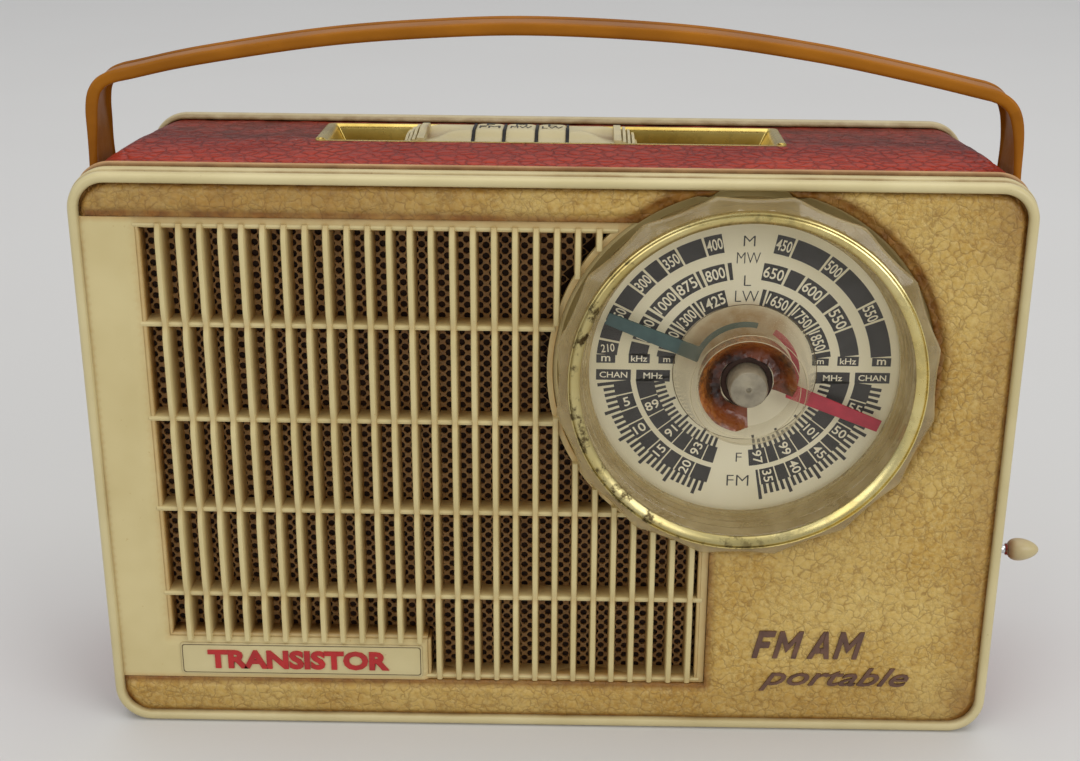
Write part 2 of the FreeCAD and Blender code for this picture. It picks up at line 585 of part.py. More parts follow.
def aerial_mounts():
    """Wall bushing and the two saddles that hold the outer tube."""
    side = half_width(AERIAL_D)
    bush = ring(side - WRAP_T, AERIAL_D, AERIAL_Z, AERIAL_R[0], 5.0, WRAP_T + 0.4, EX)
    out = [bush]
    for x in (34.0, 112.0):
        block = box(x, x + 6, AERIAL_D - 6, AERIAL_D + 6, WRAP_T, AERIAL_Z + 5)
        out.append(block.cut(rod(x - 1, AERIAL_D, AERIAL_Z, AERIAL_R[0], 9, EX)))
    return Part.makeCompound(out)


# ------------------------------------------------------------------ inside
def speaker_turned(points):
    """Solid of revolution about the loudspeaker's axis, depths counted from its mounting face."""
    return turned(SPK_X, SPK_Z, [(r, SPK_D + d) for r, d in points])


def speaker_basket():
    body = speaker_turned([(41.0, 0), (SPK_R, 0), (SPK_R, 1.4), (44.6, 1.4), (25.5, 23.2), (25.5, 27.2),
                           (23.0, 27.2), (23.0, 25.2), (14.0, 25.2), (14.0, 23.8), (24.2, 23.8),
                           (42.8, 2.6), (41.0, 1.4)])
    for i in range(6):
        hole = box(SPK_X - 8, SPK_X + 8, SPK_D + 5.7, SPK_D + 21.2, SPK_Z + 16, SPK_Z + 60)
        hole.rotate(V(SPK_X, 0, SPK_Z), EY, 60 * i + 30)
        body = body.cut(hole)
    return body


def speaker_cone():
    cone = speaker_turned([(40.9, 1.95), (39.5, 1.1), (37.5, 2.1), (13.6, 20.2), (13.6, 24.2),
                           (13.0, 24.2), (13.0, 19.6), (37.0, 1.4), (39.5, 0.5), (40.9, 1.35)])
    cap = speaker_turned([(0, 14.8), (7.0, 16.1), (13.3, 19.8), (13.3, 20.4), (6.8, 16.7), (0, 15.4)])
    return joined([cone, cap])


def speaker_magnet():
    discs = ((24.8, 12.4, 3.0), (27.2, 26.0, 2.5), (29.7, 22.5, 8.0), (37.7, 25.0, 2.5))
    return joined([rod(SPK_X, SPK_D + d, SPK_Z, r, n) for d, r, n in discs])


def speaker_screws():
    out = []
    for i in range(4):
        a = math.radians(45 + 90 * i)
        x, z = SPK_X + 47 * math.cos(a), SPK_Z + 47 * math.sin(a)
        out.append(rod(x, SPK_D + 1.4, z, 2.6, 1.6))
    return Part.makeCompound(out)


def circuit_board():
    x0, x1, z0, z1 = BOARD
    board = box(x0, x1, BOARD_D, BOARD_D + 1.6, z0, z1)
    board = board.cut(box(x0 - 1, x0 + 12, BOARD_D - 1, BOARD_D + 3, z1 - 14, z1 + 1))
    front = HOLDER_D - 2
    legs = [box(x, x + 5, front, HOLDER_D, WRAP_T, z0 + 10).fuse(box(x, x + 5, front, BOARD_D, z0, z0 + 10))
            for x in (x0 + 4, x1 - 9)]
    return joined([board] + legs)


def on_board(x, z, r, h):
    return rod(x, BOARD_D + 1.6, z, r, h)


def if_cans():
    spots = ((20, 132), (38, 100), (62, 92), (86, 104), (100, 132), (100, 88))
    cans = []
    for x, z in spots:
        can = box(x - 5, x + 5, BOARD_D + 1.6, BOARD_D + 14.6, z - 5, z + 5)
        cans.append(can.cut(rod(x, BOARD_D + 12.6, z, 1.8, 3.0)))
    return Part.makeCompound(cans)


def transistors():
    spots = ((30, 116), (52, 106), (74, 100), (88, 122), (24, 88), (40, 66), (54, 66))
    return Part.makeCompound([joined([on_board(x, z, 4.0, 1.2), on_board(x, z, 3.3, 8.5)]) for x, z in spots])


def capacitors():
    lying = ((9, 108, 5.0, 20), (10, 70, 4.0, 16), (78, 48, 5.0, 22), (108, 52, 4.0, 18))
    out = [Part.makeCylinder(r, n, V(x, dep(BOARD_D + 1.6) + r, z), EZ) for x, z, r, n in lying]
    out += [on_board(x, z, 3.6, 3.2) for x, z in ((34, 88), (66, 116), (48, 128), (82, 135), (92, 66))]
    return Part.makeCompound(out)


def resistors():
    out = []
    for i in range(16):
        x, z = 22 + 10.5 * (i % 8), (76.5 if i < 8 else 143.5)
        out.append(Part.makeCylinder(1.4, 7.0, V(x, dep(BOARD_D + 1.6) + 1.4, z - 3.5), EZ))
    return Part.makeCompound(out)


def transformers():
    out = []
    for x, z in ((20, 55.5), (46, 53.5)):
        core = box(x - 9, x + 9, BOARD_D + 1.6, BOARD_D + 7.6, z - 7, z + 7)
        coil = box(x - 6, x + 6, BOARD_D + 1.6, BOARD_D + 13.0, z - 4.5, z + 4.5)
        out.append(joined([core, coil]))
    return Part.makeCompound(out)


ROD_D, ROD_Z, ROD_R, ROD_X0, ROD_X1 = 27.0, 158.0, 4.8, -112.0, -14.0


def ferrite_rod():
    return rod(ROD_X0, ROD_D, ROD_Z, ROD_R, ROD_X1 - ROD_X0, EX)


def ferrite_coils():
    return Part.makeCompound([ring(x, ROD_D, ROD_Z, ROD_R, ROD_R + 1.3, n, EX)
                              for x, n in ((-104, 22), (-62, 14), (-42, 8))])


def rod_clips():
    top = SECTIONS[0][2] - WRAP_T
    out = []
    for x in (-74.0, -26.0):
        clip = box(x, x + 4, ROD_D - 6.5, ROD_D + 6.5, ROD_Z - 2, top)
        out.append(clip.cut(rod(x - 1, ROD_D, ROD_Z, ROD_R, 6, EX)))
    return Part.makeCompound(out)


CELL_R, CELL_L, CELL_D, CELL_Z = 13.0, 50.0, 60.5, 17.0


def battery_holder():
    body = box(-104.5, 104.5, HOLDER_D, 75.0, WRAP_T, 21.0)
    body = body.cut(box(-103.0, 103.0, CELL_D - CELL_R, CELL_D + CELL_R, CELL_Z - CELL_R, 30))
    return body


def battery_cells():
    out = []
    for i in range(4):
        x = -100.0 + CELL_L * i
        can = rod(x, CELL_D, CELL_Z, CELL_R - 0.05, CELL_L - 1.6, EX)
        cap = rod(x + CELL_L - 1.6, CELL_D, CELL_Z, 3.4, 1.6, EX)
        out.append(can.fuse(cap))
    return Part.makeCompound(out)


def battery_contacts():
    out = []
    for x0, x1 in ((-103.0, -100.0), (100.0, 103.0)):
        out.append(box(x0, x1, CELL_D - 7, CELL_D + 7, CELL_Z - 8, CELL_Z + 9))
    return Part.makeCompound(out)


def make_all():
    parts = {
        "front_frame": front_frame(), "front_panel": front_panel(),
        "grille_panel": grille_panel(), "speaker_screen": speaker_screen(),
        "badge_plate": badge_plate(),
        "badge_letters": lettering("TRANSISTOR", -114.5, 19.6, 6.0, 0.9, 7.2, 1.8, 2.2),
        "panel_letters": lettering("FM AM", 67.0, 22.0, 9.0, 2.0, 9.6, 0.5, 1.2),
        "dial_well": dial_well(), "dial_scale": dial_scale(),
        "knob_body": knob_body(), "knob_ring": knob_ring(),
        "pointer_green": pointer(POINTER_DEG), "pointer_red": pointer(POINTER_DEG - 180),
        "hub_boss": hub_boss(), "hub_glue": hub_glue(), "tuning_shaft": tuning_shaft(),
        "gang_frame": gang_frame(), "gang_stator": gang_stator(), "gang_rotor": gang_rotor(),
        "case_wrap": case_wrap(), "piping_bead": piping_bead(), "cover_bosses": cover_bosses(),
        "back_cover": back_cover(), "back_screws": back_screws(),
        "control_tray": control_tray(), "key_separators": key_separators(),
        "tone_slider": slider(-48.2, -26.9, -48.0, -41.9, -40.0),
        "volume_slider": slider(4.6, 25.7, 18.6, 25.5, 14.5),
        "switch_bank": switch_bank(), "tone_pot": slide_pot(-66, -33, -62.3, -36.7),
        "volume_pot": slide_pot(10, 64, 14.2, 60.0),
        "handle": handle(), "handle_pins": handle_pins(),
        "aerial_tube": aerial_tube(0), "aerial_tip": aerial_tip(), "aerial_mounts": aerial_mounts(),
        "speaker_basket": speaker_basket(), "speaker_cone": speaker_cone(),
        "speaker_magnet": speaker_magnet(), "speaker_screws": speaker_screws(),
        "circuit_board": circuit_board(), "if_cans": if_cans(), "transistors": transistors(),
        "capacitors": capacitors(), "resistors": resistors(), "transformers": transformers(),
        "ferrite_rod": ferrite_rod(), "ferrite_coils": ferrite_coils(), "rod_clips": rod_clips(),
        "battery_holder": battery_holder(), "battery_cells": battery_cells(),
        "battery_contacts": battery_contacts(),
    }
    for name, x0, x1 in KEYS:
        parts[name] = band_key(x0, x1)
    for i in range(1, len(AERIAL_R)):
        parts["aerial_section_%d" % i] = aerial_tube(i)
    return parts


for node, shape in make_all().items():
    shape.exportStep("parts/%s.step" % node)
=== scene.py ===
"""The looks of a portable transistor radio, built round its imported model.

Lengths are millimetres in the part's own frame; Shape.piece turns them into metres.
A depth d counts back from the front of the rim, and tray places are given on the falling rear top.
"""
import math

import bmesh
import bpy
from mathutils import Matrix, Vector, noise
from mathutils.geometry import delaunay_2d_cdt


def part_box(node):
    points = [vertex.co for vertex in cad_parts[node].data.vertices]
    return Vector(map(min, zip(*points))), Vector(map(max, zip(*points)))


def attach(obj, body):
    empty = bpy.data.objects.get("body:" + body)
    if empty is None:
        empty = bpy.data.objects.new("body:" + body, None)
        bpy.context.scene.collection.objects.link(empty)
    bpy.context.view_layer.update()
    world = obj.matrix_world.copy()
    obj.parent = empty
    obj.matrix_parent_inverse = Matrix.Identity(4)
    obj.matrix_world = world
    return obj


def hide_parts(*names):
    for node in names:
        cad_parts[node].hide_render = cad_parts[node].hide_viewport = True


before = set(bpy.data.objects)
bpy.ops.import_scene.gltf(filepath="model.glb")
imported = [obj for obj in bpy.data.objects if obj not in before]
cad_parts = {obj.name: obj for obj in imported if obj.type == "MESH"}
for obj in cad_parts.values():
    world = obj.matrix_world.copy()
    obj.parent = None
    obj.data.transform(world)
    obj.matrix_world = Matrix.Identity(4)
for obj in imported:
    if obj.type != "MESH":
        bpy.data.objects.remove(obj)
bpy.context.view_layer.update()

MM = 0.001
SHARP = math.radians(38)  # edges sharper than this are shaded hard
JOIN = 0.004  # points nearer than this are welded


def corners(node):
    """Lowest and highest corner of a CAD node."""
    lo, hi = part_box(node)
    return lo / MM, hi / MM


frame_lo, frame_hi = corners("front_frame")
scale_lo, scale_hi = corners("dial_scale")
ring_lo, ring_hi = corners("knob_ring")
well_lo, well_hi = corners("dial_well")
screen_lo, screen_hi = corners("speaker_screen")
plate_lo, plate_hi = corners("grille_panel")
badge_lo, badge_hi = corners("badge_plate")
knob_lo, wrap_hi = corners("knob_body")[0], corners("case_wrap")[1]

FRONT, HALF, TOP = frame_lo.y, frame_hi.x, frame_hi.z
FRAME_D = frame_hi.y - FRONT
DIAL_X = (scale_lo.x + scale_hi.x) / 2
DIAL_Z = (scale_lo.z + scale_hi.z) / 2
SCALE_D = scale_lo.y - FRONT
RING_R = (ring_hi.x - ring_lo.x) / 2
WELL_R = (well_hi.x - well_lo.x) / 2
HUB_D = knob_lo.y - FRONT
SCREEN_D = screen_lo.y - FRONT

# the case, as in the part: depth, half width and height of its three sections
CREASE, WRAP_BACK = 40.0, wrap_hi.y - FRONT
SECTIONS = ((FRAME_D, wrap_hi.x, wrap_hi.z), (CREASE, 135.5, wrap_hi.z), (WRAP_BACK, 131.4, 180.8))
WRAP_R = 10.0
FALL = math.atan((SECTIONS[1][2] - SECTIONS[2][2]) / (WRAP_BACK - CREASE))
PIPING_D = 7.7  # where the frame ends and the piping starts
TRAY = (-72.7, 69.8, 2.1, 28.1)  # the opening: left, right, front and back from the crease

# the grille
GRILLE = (screen_lo.x + 3, screen_hi.x - 2, screen_lo.z + 2, screen_hi.z - 2)
BAR_Z = (45.5, 75.0, 105.2, 135.5)
SLATS, SLAT_PITCH = 28, 6.1
BADGE_END, BADGE_TOP = -38.9, 30.2

PANEL_INSET, PANEL_R = 2.3, 10.4
MOULD_X, MOULD_Z0, MOULD_Z1 = plate_hi.x + 0.1, plate_lo.z - 0.1, plate_hi.z + 0.1


# ---------------------------------------------------------------- places and curves
def at(x, d, z):
    return Vector((x, FRONT + d, z))


def on_slope(x, u, w):
    """A tray place: u back from the crease and w above the falling top."""
    c, s = math.cos(FALL), math.sin(FALL)
    return Vector((x, FRONT + CREASE + u * c + w * s, wrap_hi.z - u * s + w * c))


def polar(r, degrees, x=0.0, z=0.0):
    a = math.radians(degrees)
    return x + r * math.cos(a), z + r * math.sin(a)


def on_dial(r, degrees, d):
    x, z = polar(r, degrees, DIAL_X, DIAL_Z)
    return at(x, d, z)


def on_face(x, d, z, turn=0.0):
    """A place() for letters standing forward of the plane d, turned anticlockwise."""
    c, s = polar(1.0, turn)
    return lambda u, v, t: at(x + u * c - v * s, d - t, z + u * s + v * c)


def step(a, b, t):
    """0 before a, 1 after b, smooth between."""
    t = min(1.0, max(0.0, (t - a) / (b - a)))
    return t * t * (3 - 2 * t)


def table(t, rows):
    """Straight-line value at t of (t, value) rows."""
    for (a, x), (b, y) in zip(rows[:-1], rows[1:]):
        if t <= b:
            return x + (y - x) * max(0.0, t - a) / (b - a)
    return rows[-1][1]


def spread(anchors, pitch):
    """Values from the first anchor to the last, through each, about pitch apart."""
    out = [anchors[0]]
    for a, b in zip(anchors[:-1], anchors[1:]):
        n = max(1, round(abs(b - a) / pitch))
        out += [a + (b - a) * k / n for k in range(1, n + 1)]
    return out


def smooth_path(points, n):
    """Catmull-Rom curve through the points, n samples to a span."""
    out = []
    last = len(points) - 1
    for i in range(last):
        p = [Vector(points[min(max(i + k, 0), last)]) for k in (-1, 0, 1, 2)]
        for k in range(n):
            t = k / n
            out.append(0.5 * (2 * p[1] + (p[2] - p[0]) * t
                              + (2 * p[0] - 5 * p[1] + 4 * p[2] - p[3]) * t * t
                              + (3 * p[1] - p[0] - 3 * p[2] + p[3]) * t ** 3))
    return out + [Vector(points[-1])]


def pebbles(p, size):
    """Height 0..1 of leather-like pebbles at a point, low along the creases."""
    d, _ = noise.voronoi(p / size)
    return step(0.0, 0.45, d[1] - d[0])


def wave(*place):
    """Smooth noise, about -1..1, at a place."""
    return noise.noise(Vector(place))


# ---------------------------------------------------------------- outlines
def rounded(half, low, high, r, arc=14, across=44, up=30):
    """(x, z) round a rounded rectangle; the same number of points whatever its size."""
    centres = ((half - r, low + r, -90), (half - r, high - r, 0),
               (r - half, high - r, 90), (r - half, low + r, 180))
    out = []
    for i, (cx, cz, start) in enumerate(centres):
        out += [polar(r, start + 90 * k / arc, cx, cz) for k in range(arc + 1)]
        nx, nz, turn = centres[(i + 1) % 4]
        (ax, az), (bx, bz) = out[-1], polar(r, turn, nx, nz)
        n = across if i % 2 else up
        out += [(ax + (bx - ax) * k / n, az + (bz - az) * k / n) for k in range(1, n)]
    return out


def filled(loop, area, pitch, holes=()):
    """Points (x, z) and triangles filling loop less its holes; area(x, z) is the distance inside.

    The points inside stand in staggered rows, each jogged a little so that no pattern shows.
    """
    points, edges = [], []
    for ring in (loop, *holes):
        base = len(points)
        points += [Vector(p) for p in ring]
        edges += [(base + i, base + (i + 1) % len(ring)) for i in range(len(ring))]
    xs, zs = [p.x for p in points], [p.y for p in points]
    z, odd = min(zs), 0
    while z < max(zs):
        x = min(xs) + 0.5 * pitch * odd
        while x < max(xs):
            if area(x, z) > 0.55 * pitch:
                jog = 0.18 * pitch
                points.append(Vector((x + jog * wave(x, z, 3.0), z + jog * wave(x, z, 17.0))))
            x += pitch
        z += pitch * 0.866
        odd = 1 - odd
    verts, _, faces, *_ = delaunay_2d_cdt(points, edges, [], 0, 1e-5)
    kept = [f for f in faces
            if area(sum(verts[i].x for i in f) / 3, sum(verts[i].y for i in f) / 3) > 0]
    used = sorted({i for f in kept for i in f})
    new = {old: k for k, old in enumerate(used)}
    return [verts[i] for i in used], [[new[i] for i in f] for f in kept]


def walk(points, pitch):
    """Points about pitch apart along an open line of (x, z) corners, the last left out."""
    out = []
    for (ax, az), (bx, bz) in zip(points[:-1], points[1:]):
        n = max(1, round(math.hypot(bx - ax, bz - az) / pitch))
        out += [(ax + (bx - ax) * k / n, az + (bz - az) * k / n) for k in range(n)]
    return out


def dial_cut(r, x=None, z=None, side=-1):
    """Where a circle round the dial meets the line of constant x or z."""
    if x is not None:
        return DIAL_Z + side * math.sqrt(r * r - (x - DIAL_X) ** 2)
    return DIAL_X + side * math.sqrt(r * r - (z - DIAL_Z) ** 2)


def circle_walk(r, start, end, pitch, turn=0):
    """Points round the dial between two places on a circle, turn degrees further than the second."""
    a0, a1 = [math.degrees(math.atan2(z - DIAL_Z, x - DIAL_X)) for x, z in (start, end)]
    a1 += turn
    n = max(2, round(abs(math.radians(a1 - a0)) * r / pitch))
    return [polar(r, a0 + (a1 - a0) * k / n, DIAL_X, DIAL_Z) for k in range(n)]


def bite(r, x, z):
    """Where a circle round the dial crosses the upright x below it and the level z left of it."""
    return (x, dial_cut(r, x=x)), (dial_cut(r, z=z), z)


def notched(r, x, z, before, after, pitch):
    """A closed outline through before, up x, round the dial's left side, along z and through after."""
    low, high = bite(r, x, z)
    return (walk([*before, low], pitch) + circle_walk(r, low, high, pitch, -360)
            + walk([high, *after], pitch))


def off_dial(x, z):
    return math.hypot(x - DIAL_X, z - DIAL_Z)


def in_box(x, z, x0, x1, z0, z1):
    """Distance inside a rectangle, negative outside."""
    return min(x - x0, x1 - x, z - z0, z1 - z)


def out_box(x, z, x0, x1, z0, z1):
    """Distance outside a rectangle, negative inside."""
    dx, dz = max(x0 - x, x - x1), max(z0 - z, z - z1)
    return math.hypot(max(dx, 0), max(dz, 0)) if max(dx, dz) > 0 else max(dx, dz)


def in_rounded(x, z, inset, r):
    """Distance inside the frame's opening, drawn in by inset."""
    hx, hz = HALF - inset - r, TOP / 2 - inset - r
    qx, qz = abs(x) - hx, abs(z - TOP / 2) - hz
    return r - (math.hypot(max(qx, 0), max(qz, 0)) + min(max(qx, qz), 0))


def lathe(profile, sides, facet=None):
    """Rows of points turned about the dial's axis from (radius, depth); facet(r, angle) may change r."""
    rows = []
    for r, d in profile:
        row = []
        for k in range(sides):
            a = 2 * math.pi * k / sides
            q = facet(r, a) if facet else r
            row.append(at(DIAL_X + q * math.cos(a), d, DIAL_Z + q * math.sin(a)))
        rows.append(row)
    return rows


# ---------------------------------------------------------------- mesh making
def soften(obj, width):
    """A small bevel on an object's sharp edges."""
    m = obj.modifiers.new("edges", "BEVEL")
    m.width, m.segments, m.limit_method, m.angle_limit = width * MM, 2, "ANGLE", SHARP
    m.harden_normals = True
    m.use_clamp_overlap = True


class Shape:
    """Points and faces of one piece, with a value 0..1 for each point that carries dirt and, in places,
    painted shade.
    """

    def __init__(self):
        self.points, self.faces, self.grime_and_shade, self.kinds = [], [], [], []

    def add(self, points, faces, grime_and_shade=0.0, kind=0):
        base = len(self.points)
        self.points += points
        self.grime_and_shade += grime_and_shade if isinstance(grime_and_shade, list) else [grime_and_shade] * len(points)
        self.faces += [[base + i for i in f] for f in faces]
        self.kinds += [kind] * len(faces)
        return self

    def grid(self, rows, ring=False, loop=False, caps=False, grime_and_shade=0.0, kind=0, skip=None):
        """Rows of points joined by quads. ring closes each row, loop joins the last row to the first.

        The value of dirt and painted shade is one value, one for each row, or a list for each row.
        """
        m, n = len(rows), len(rows[0])
        faces = []
        for i in range(m if loop else m - 1):
            for j in range(n if ring else n - 1):
                if skip and skip(i, j):
                    continue
                a, b = i * n, ((i + 1) % m) * n
                faces.append([a + j, a + (j + 1) % n, b + (j + 1) % n, b + j])
        if caps and ring:
            faces += [list(range(n))[::-1], [(m - 1) * n + j for j in range(n)]]
        elif caps:
            faces += [[i * n for i in range(m)], [i * n + n - 1 for i in range(m)][::-1]]
        if isinstance(grime_and_shade, (list, tuple)):
            grime_and_shade = [g for row in grime_and_shade for g in (row if isinstance(row, list) else [row] * n)]
        return self.add([p for row in rows for p in row], faces, grime_and_shade, kind)

    def block(self, low, high, place=at):
        """A rectangular block between two corners given to place()."""
        (x0, y0, z0), (x1, y1, z1) = low, high
        base = ((x0, y0), (x1, y0), (x1, y1), (x0, y1))
        return self.grid([[place(x, y, z) for x, y in base] for z in (z0, z1)], ring=True, caps=True)

    def close(self, n, kind=0):
        """One face over the last n points."""
        last = len(self.points)
        self.faces.append(list(range(last - n, last)))
        self.kinds.append(kind)

    def piece(self, name, body, materials, replaces, slot, bevel=0.0, subdivide=0, wall=0.0,
              wall_kind=0, sharp=SHARP, weld=False):
        mesh = bpy.data.meshes.new(name)
        mesh.from_pydata([p * MM for p in self.points], [], self.faces)
        mesh.attributes.new("grime_and_shade", "FLOAT", "POINT").data.foreach_set("value", self.grime_and_shade)
        for m in materials:
            mesh.materials.append(m)
        mesh.polygons.foreach_set("material_index", self.kinds)
        work = bmesh.new()
        work.from_mesh(mesh)
        if weld:
            bmesh.ops.remove_doubles(work, verts=work.verts, dist=JOIN * MM)
        bmesh.ops.recalc_face_normals(work, faces=work.faces)
        work.to_mesh(mesh)
        work.free()
        mesh.shade_smooth()
        if not subdivide:
            mesh.set_sharp_from_angle(angle=sharp)
        obj = bpy.data.objects.new(name, mesh)
        bpy.context.scene.collection.objects.link(obj)
        if wall:
            m = obj.modifiers.new("wall", "SOLIDIFY")
            m.thickness, m.offset = wall * MM, -1
            m.material_offset = m.material_offset_rim = wall_kind
        if bevel:
            soften(obj, bevel)
        if subdivide:
            m = obj.modifiers.new("smooth", "SUBSURF")
            m.levels = m.render_levels = subdivide
        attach(obj, body)
        if replaces:
            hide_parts(*replaces)


def write(shape, jobs, kind=0):
    """Raised letters. Each job is text, letter height, widest length, weight, shear, thickness, place."""
    made = []
    for text, height, widest, weight, shear, thick, place in jobs:
        curve = bpy.data.curves.new("letters", "FONT")
        curve.body, curve.offset, curve.shear = text, weight, shear
        curve.extrude, curve.resolution_u = 0.5, 3
        holder = bpy.data.objects.new("letters", curve)
        bpy.context.scene.collection.objects.link(holder)
        made.append(holder)
    bpy.context.view_layer.update()
    depsgraph = bpy.context.evaluated_depsgraph_get()
    for holder, (text, height, widest, weight, shear, thick, place) in zip(made, jobs):
        mesh = bpy.data.meshes.new_from_object(holder.evaluated_get(depsgraph))
        co = [v.co.copy() for v in mesh.vertices]
        lo = [min(c[k] for c in co) for k in (0, 1)]
        hi = [max(c[k] for c in co) for k in (0, 1)]
        tall = height / max(1e-6, hi[1] - lo[1])
        wide = min(tall * (1.15 + 0.7 * shear), widest / (hi[0] - lo[0]))
        points = [place((c.x - (lo[0] + hi[0]) / 2) * wide, (c.y - (lo[1] + hi[1]) / 2) * tall,
                        (c.z + 0.5) * thick) for c in co]
        shape.add(points, [list(f.vertices) for f in mesh.polygons], kind=kind)
        curve = holder.data
        bpy.data.objects.remove(holder)
        bpy.data.curves.remove(curve)
        bpy.data.meshes.remove(mesh)
    return shape


# ---------------------------------------------------------------- materials
def tone(r, g, b, gain=1.0):
    """Linear colour of 8-bit display values."""
    out = []
    for v in (r, g, b):
        v /= 255
        v = v / 12.92 if v <= 0.04045 else ((v + 0.055) / 1.055) ** 2.4
        out.append(min(0.95, v * gain))
    return (*out, 1.0)


class Shade:
    """A node material built up from noise, cells and the piece's own value of dirt and painted shade."""

    def __init__(self, name, roughness=0.5, metallic=0.0, **sockets):
        self.material = bpy.data.materials.new(name)
        self.material.use_nodes = True
        self.tree = self.material.node_tree
        self.surface = self.tree.nodes["Principled BSDF"]
        for socket, value in {"Roughness": roughness, "Metallic": metallic, **sockets}.items():
            self.surface.inputs[socket.replace("_", " ")].default_value = value
        self.place = self.tree.nodes.new("ShaderNodeTexCoord").outputs["Object"]

    def node(self, kind, links, **settings):
        """A node; each of links is a socket to join to that input, or its value."""
        n = self.tree.nodes.new(kind)
        for name, value in settings.items():
            setattr(n, name, value)
        for index, value in links.items():
            if isinstance(value, bpy.types.NodeSocket):
                self.tree.links.new(value, n.inputs[index])
            else:
                n.inputs[index].default_value = value
        return n

    def vector(self, operation, a, b):
        """Vector arithmetic; b is a vector, or a number to scale by."""
        index = "Scale" if operation == "SCALE" else 1
        return self.node("ShaderNodeVectorMath", {0: a, index: b}, operation=operation).outputs[0]

    def wobble(self, size, amount):
        """The place, pushed about by noise so that patterns aren't regular."""
        n = self.node("ShaderNodeTexNoise", {"Vector": self.place, "Scale": 1 / (size * MM), "Detail": 2.0})
        moved = self.vector("SUBTRACT", n.outputs["Color"], (0.5, 0.5, 0.5))
        return self.vector("ADD", self.place, self.vector("SCALE", moved, amount * MM))

    def noise(self, size, detail=4.0, rough=0.55, place=None):
        n = self.node("ShaderNodeTexNoise", {"Vector": place or self.place, "Scale": 1 / (size * MM),
                                             "Detail": detail, "Roughness": rough})
        return n.outputs["Fac"]

    def cells(self, size, place):
        """Distance to the nearest edge between cells."""
        n = self.node("ShaderNodeTexVoronoi", {"Vector": place, "Scale": 1 / (size * MM)},
                      feature="DISTANCE_TO_EDGE")
        return n.outputs["Distance"]

    # the piece's dirt and painted shade, 0..1
    def grime_and_shade(self):
        return self.node("ShaderNodeAttribute", {}, attribute_name="grime_and_shade").outputs["Fac"]

    def ramp(self, source, *stops):
        n = self.node("ShaderNodeValToRGB", {0: source})
        while len(n.color_ramp.elements) < len(stops):
            n.color_ramp.elements.new(0.5)
        for e, (position, value) in zip(n.color_ramp.elements, stops):
            e.position = position
            e.color = (value, value, value, 1)
        return n.outputs["Color"]

    def calc(self, operation, a, b, clamp=False):
        return self.node("ShaderNodeMath", {0: a, 1: b}, operation=operation, use_clamp=clamp).outputs[0]

    def times(self, a, b, clamp=False):
        return self.calc("MULTIPLY", a, b, clamp)

    def mix(self, factor, a, b):
        return self.node("ShaderNodeMix", {0: factor, 6: a, 7: b}, data_type="RGBA").outputs[2]

    def patches(self, size, detail, start, full, a, b, share=1.0):
        """Colour a with soft patches of b, growing from start to full where they cover share of it."""
        return self.mix(self.ramp(self.noise(size, detail), (start, 0.0), (full, share)), a, b)

    def grime_and_shade_patches(self, size, low, high):
        """The value of dirt and painted shade, broken up by noise."""
        return self.times(self.grime_and_shade(), self.ramp(self.noise(size, 5), low, high), clamp=True)

    def colour(self, source):
        self.tree.links.new(source, self.surface.inputs["Base Color"])

    def rough(self, source, low, high):
        r = self.node("ShaderNodeMapRange", {0: source, 3: low, 4: high})
        self.tree.links.new(r.outputs[0], self.surface.inputs["Roughness"])

    def bump(self, *layers):
        """Height sources with their depths. Gives back the material."""
        links = {}
        for source, depth in layers:
            links.update({"Height": source, "Distance": depth * MM, "Strength": 1.0})
            links["Normal"] = self.node("ShaderNodeBump", links).outputs[0]
        self.tree.links.new(links["Normal"], self.surface.inputs["Normal"])
        return self.material


def aged_plastic(name, light, dark, stain_and_shade, roughness=0.36, reach=0.9):
    """Moulded plastic that has yellowed unevenly, with old dirt and, in places, painted shade in the stain
    colour where the value of dirt and shade is high.
    """
    gain = 1.02
    s = Shade(name, roughness, Coat_Weight=0.12, Coat_Roughness=0.25, Specular_IOR_Level=0.4)
    body = s.patches(38, 3, 0.35, 0.7, tone(*light, gain), tone(*dark, gain))
    body = s.patches(1.6, 2, 0.74, 0.8, body, tone(*stain_and_shade, 0.9), 0.55)
    # the stain colour goes where dirt lies and where shade is painted in
    dirt_and_shade = s.times(s.grime_and_shade_patches(5.5, (0.25, 0.45), (0.7, 1.0)), reach, clamp=True)
    s.colour(s.mix(dirt_and_shade, body, tone(*stain_and_shade, gain)))
    s.rough(s.noise(9), roughness - 0.07, roughness + 0.12)
    return s.bump((s.noise(0.7, 3), 0.012), (s.noise(14, 2), 0.08))


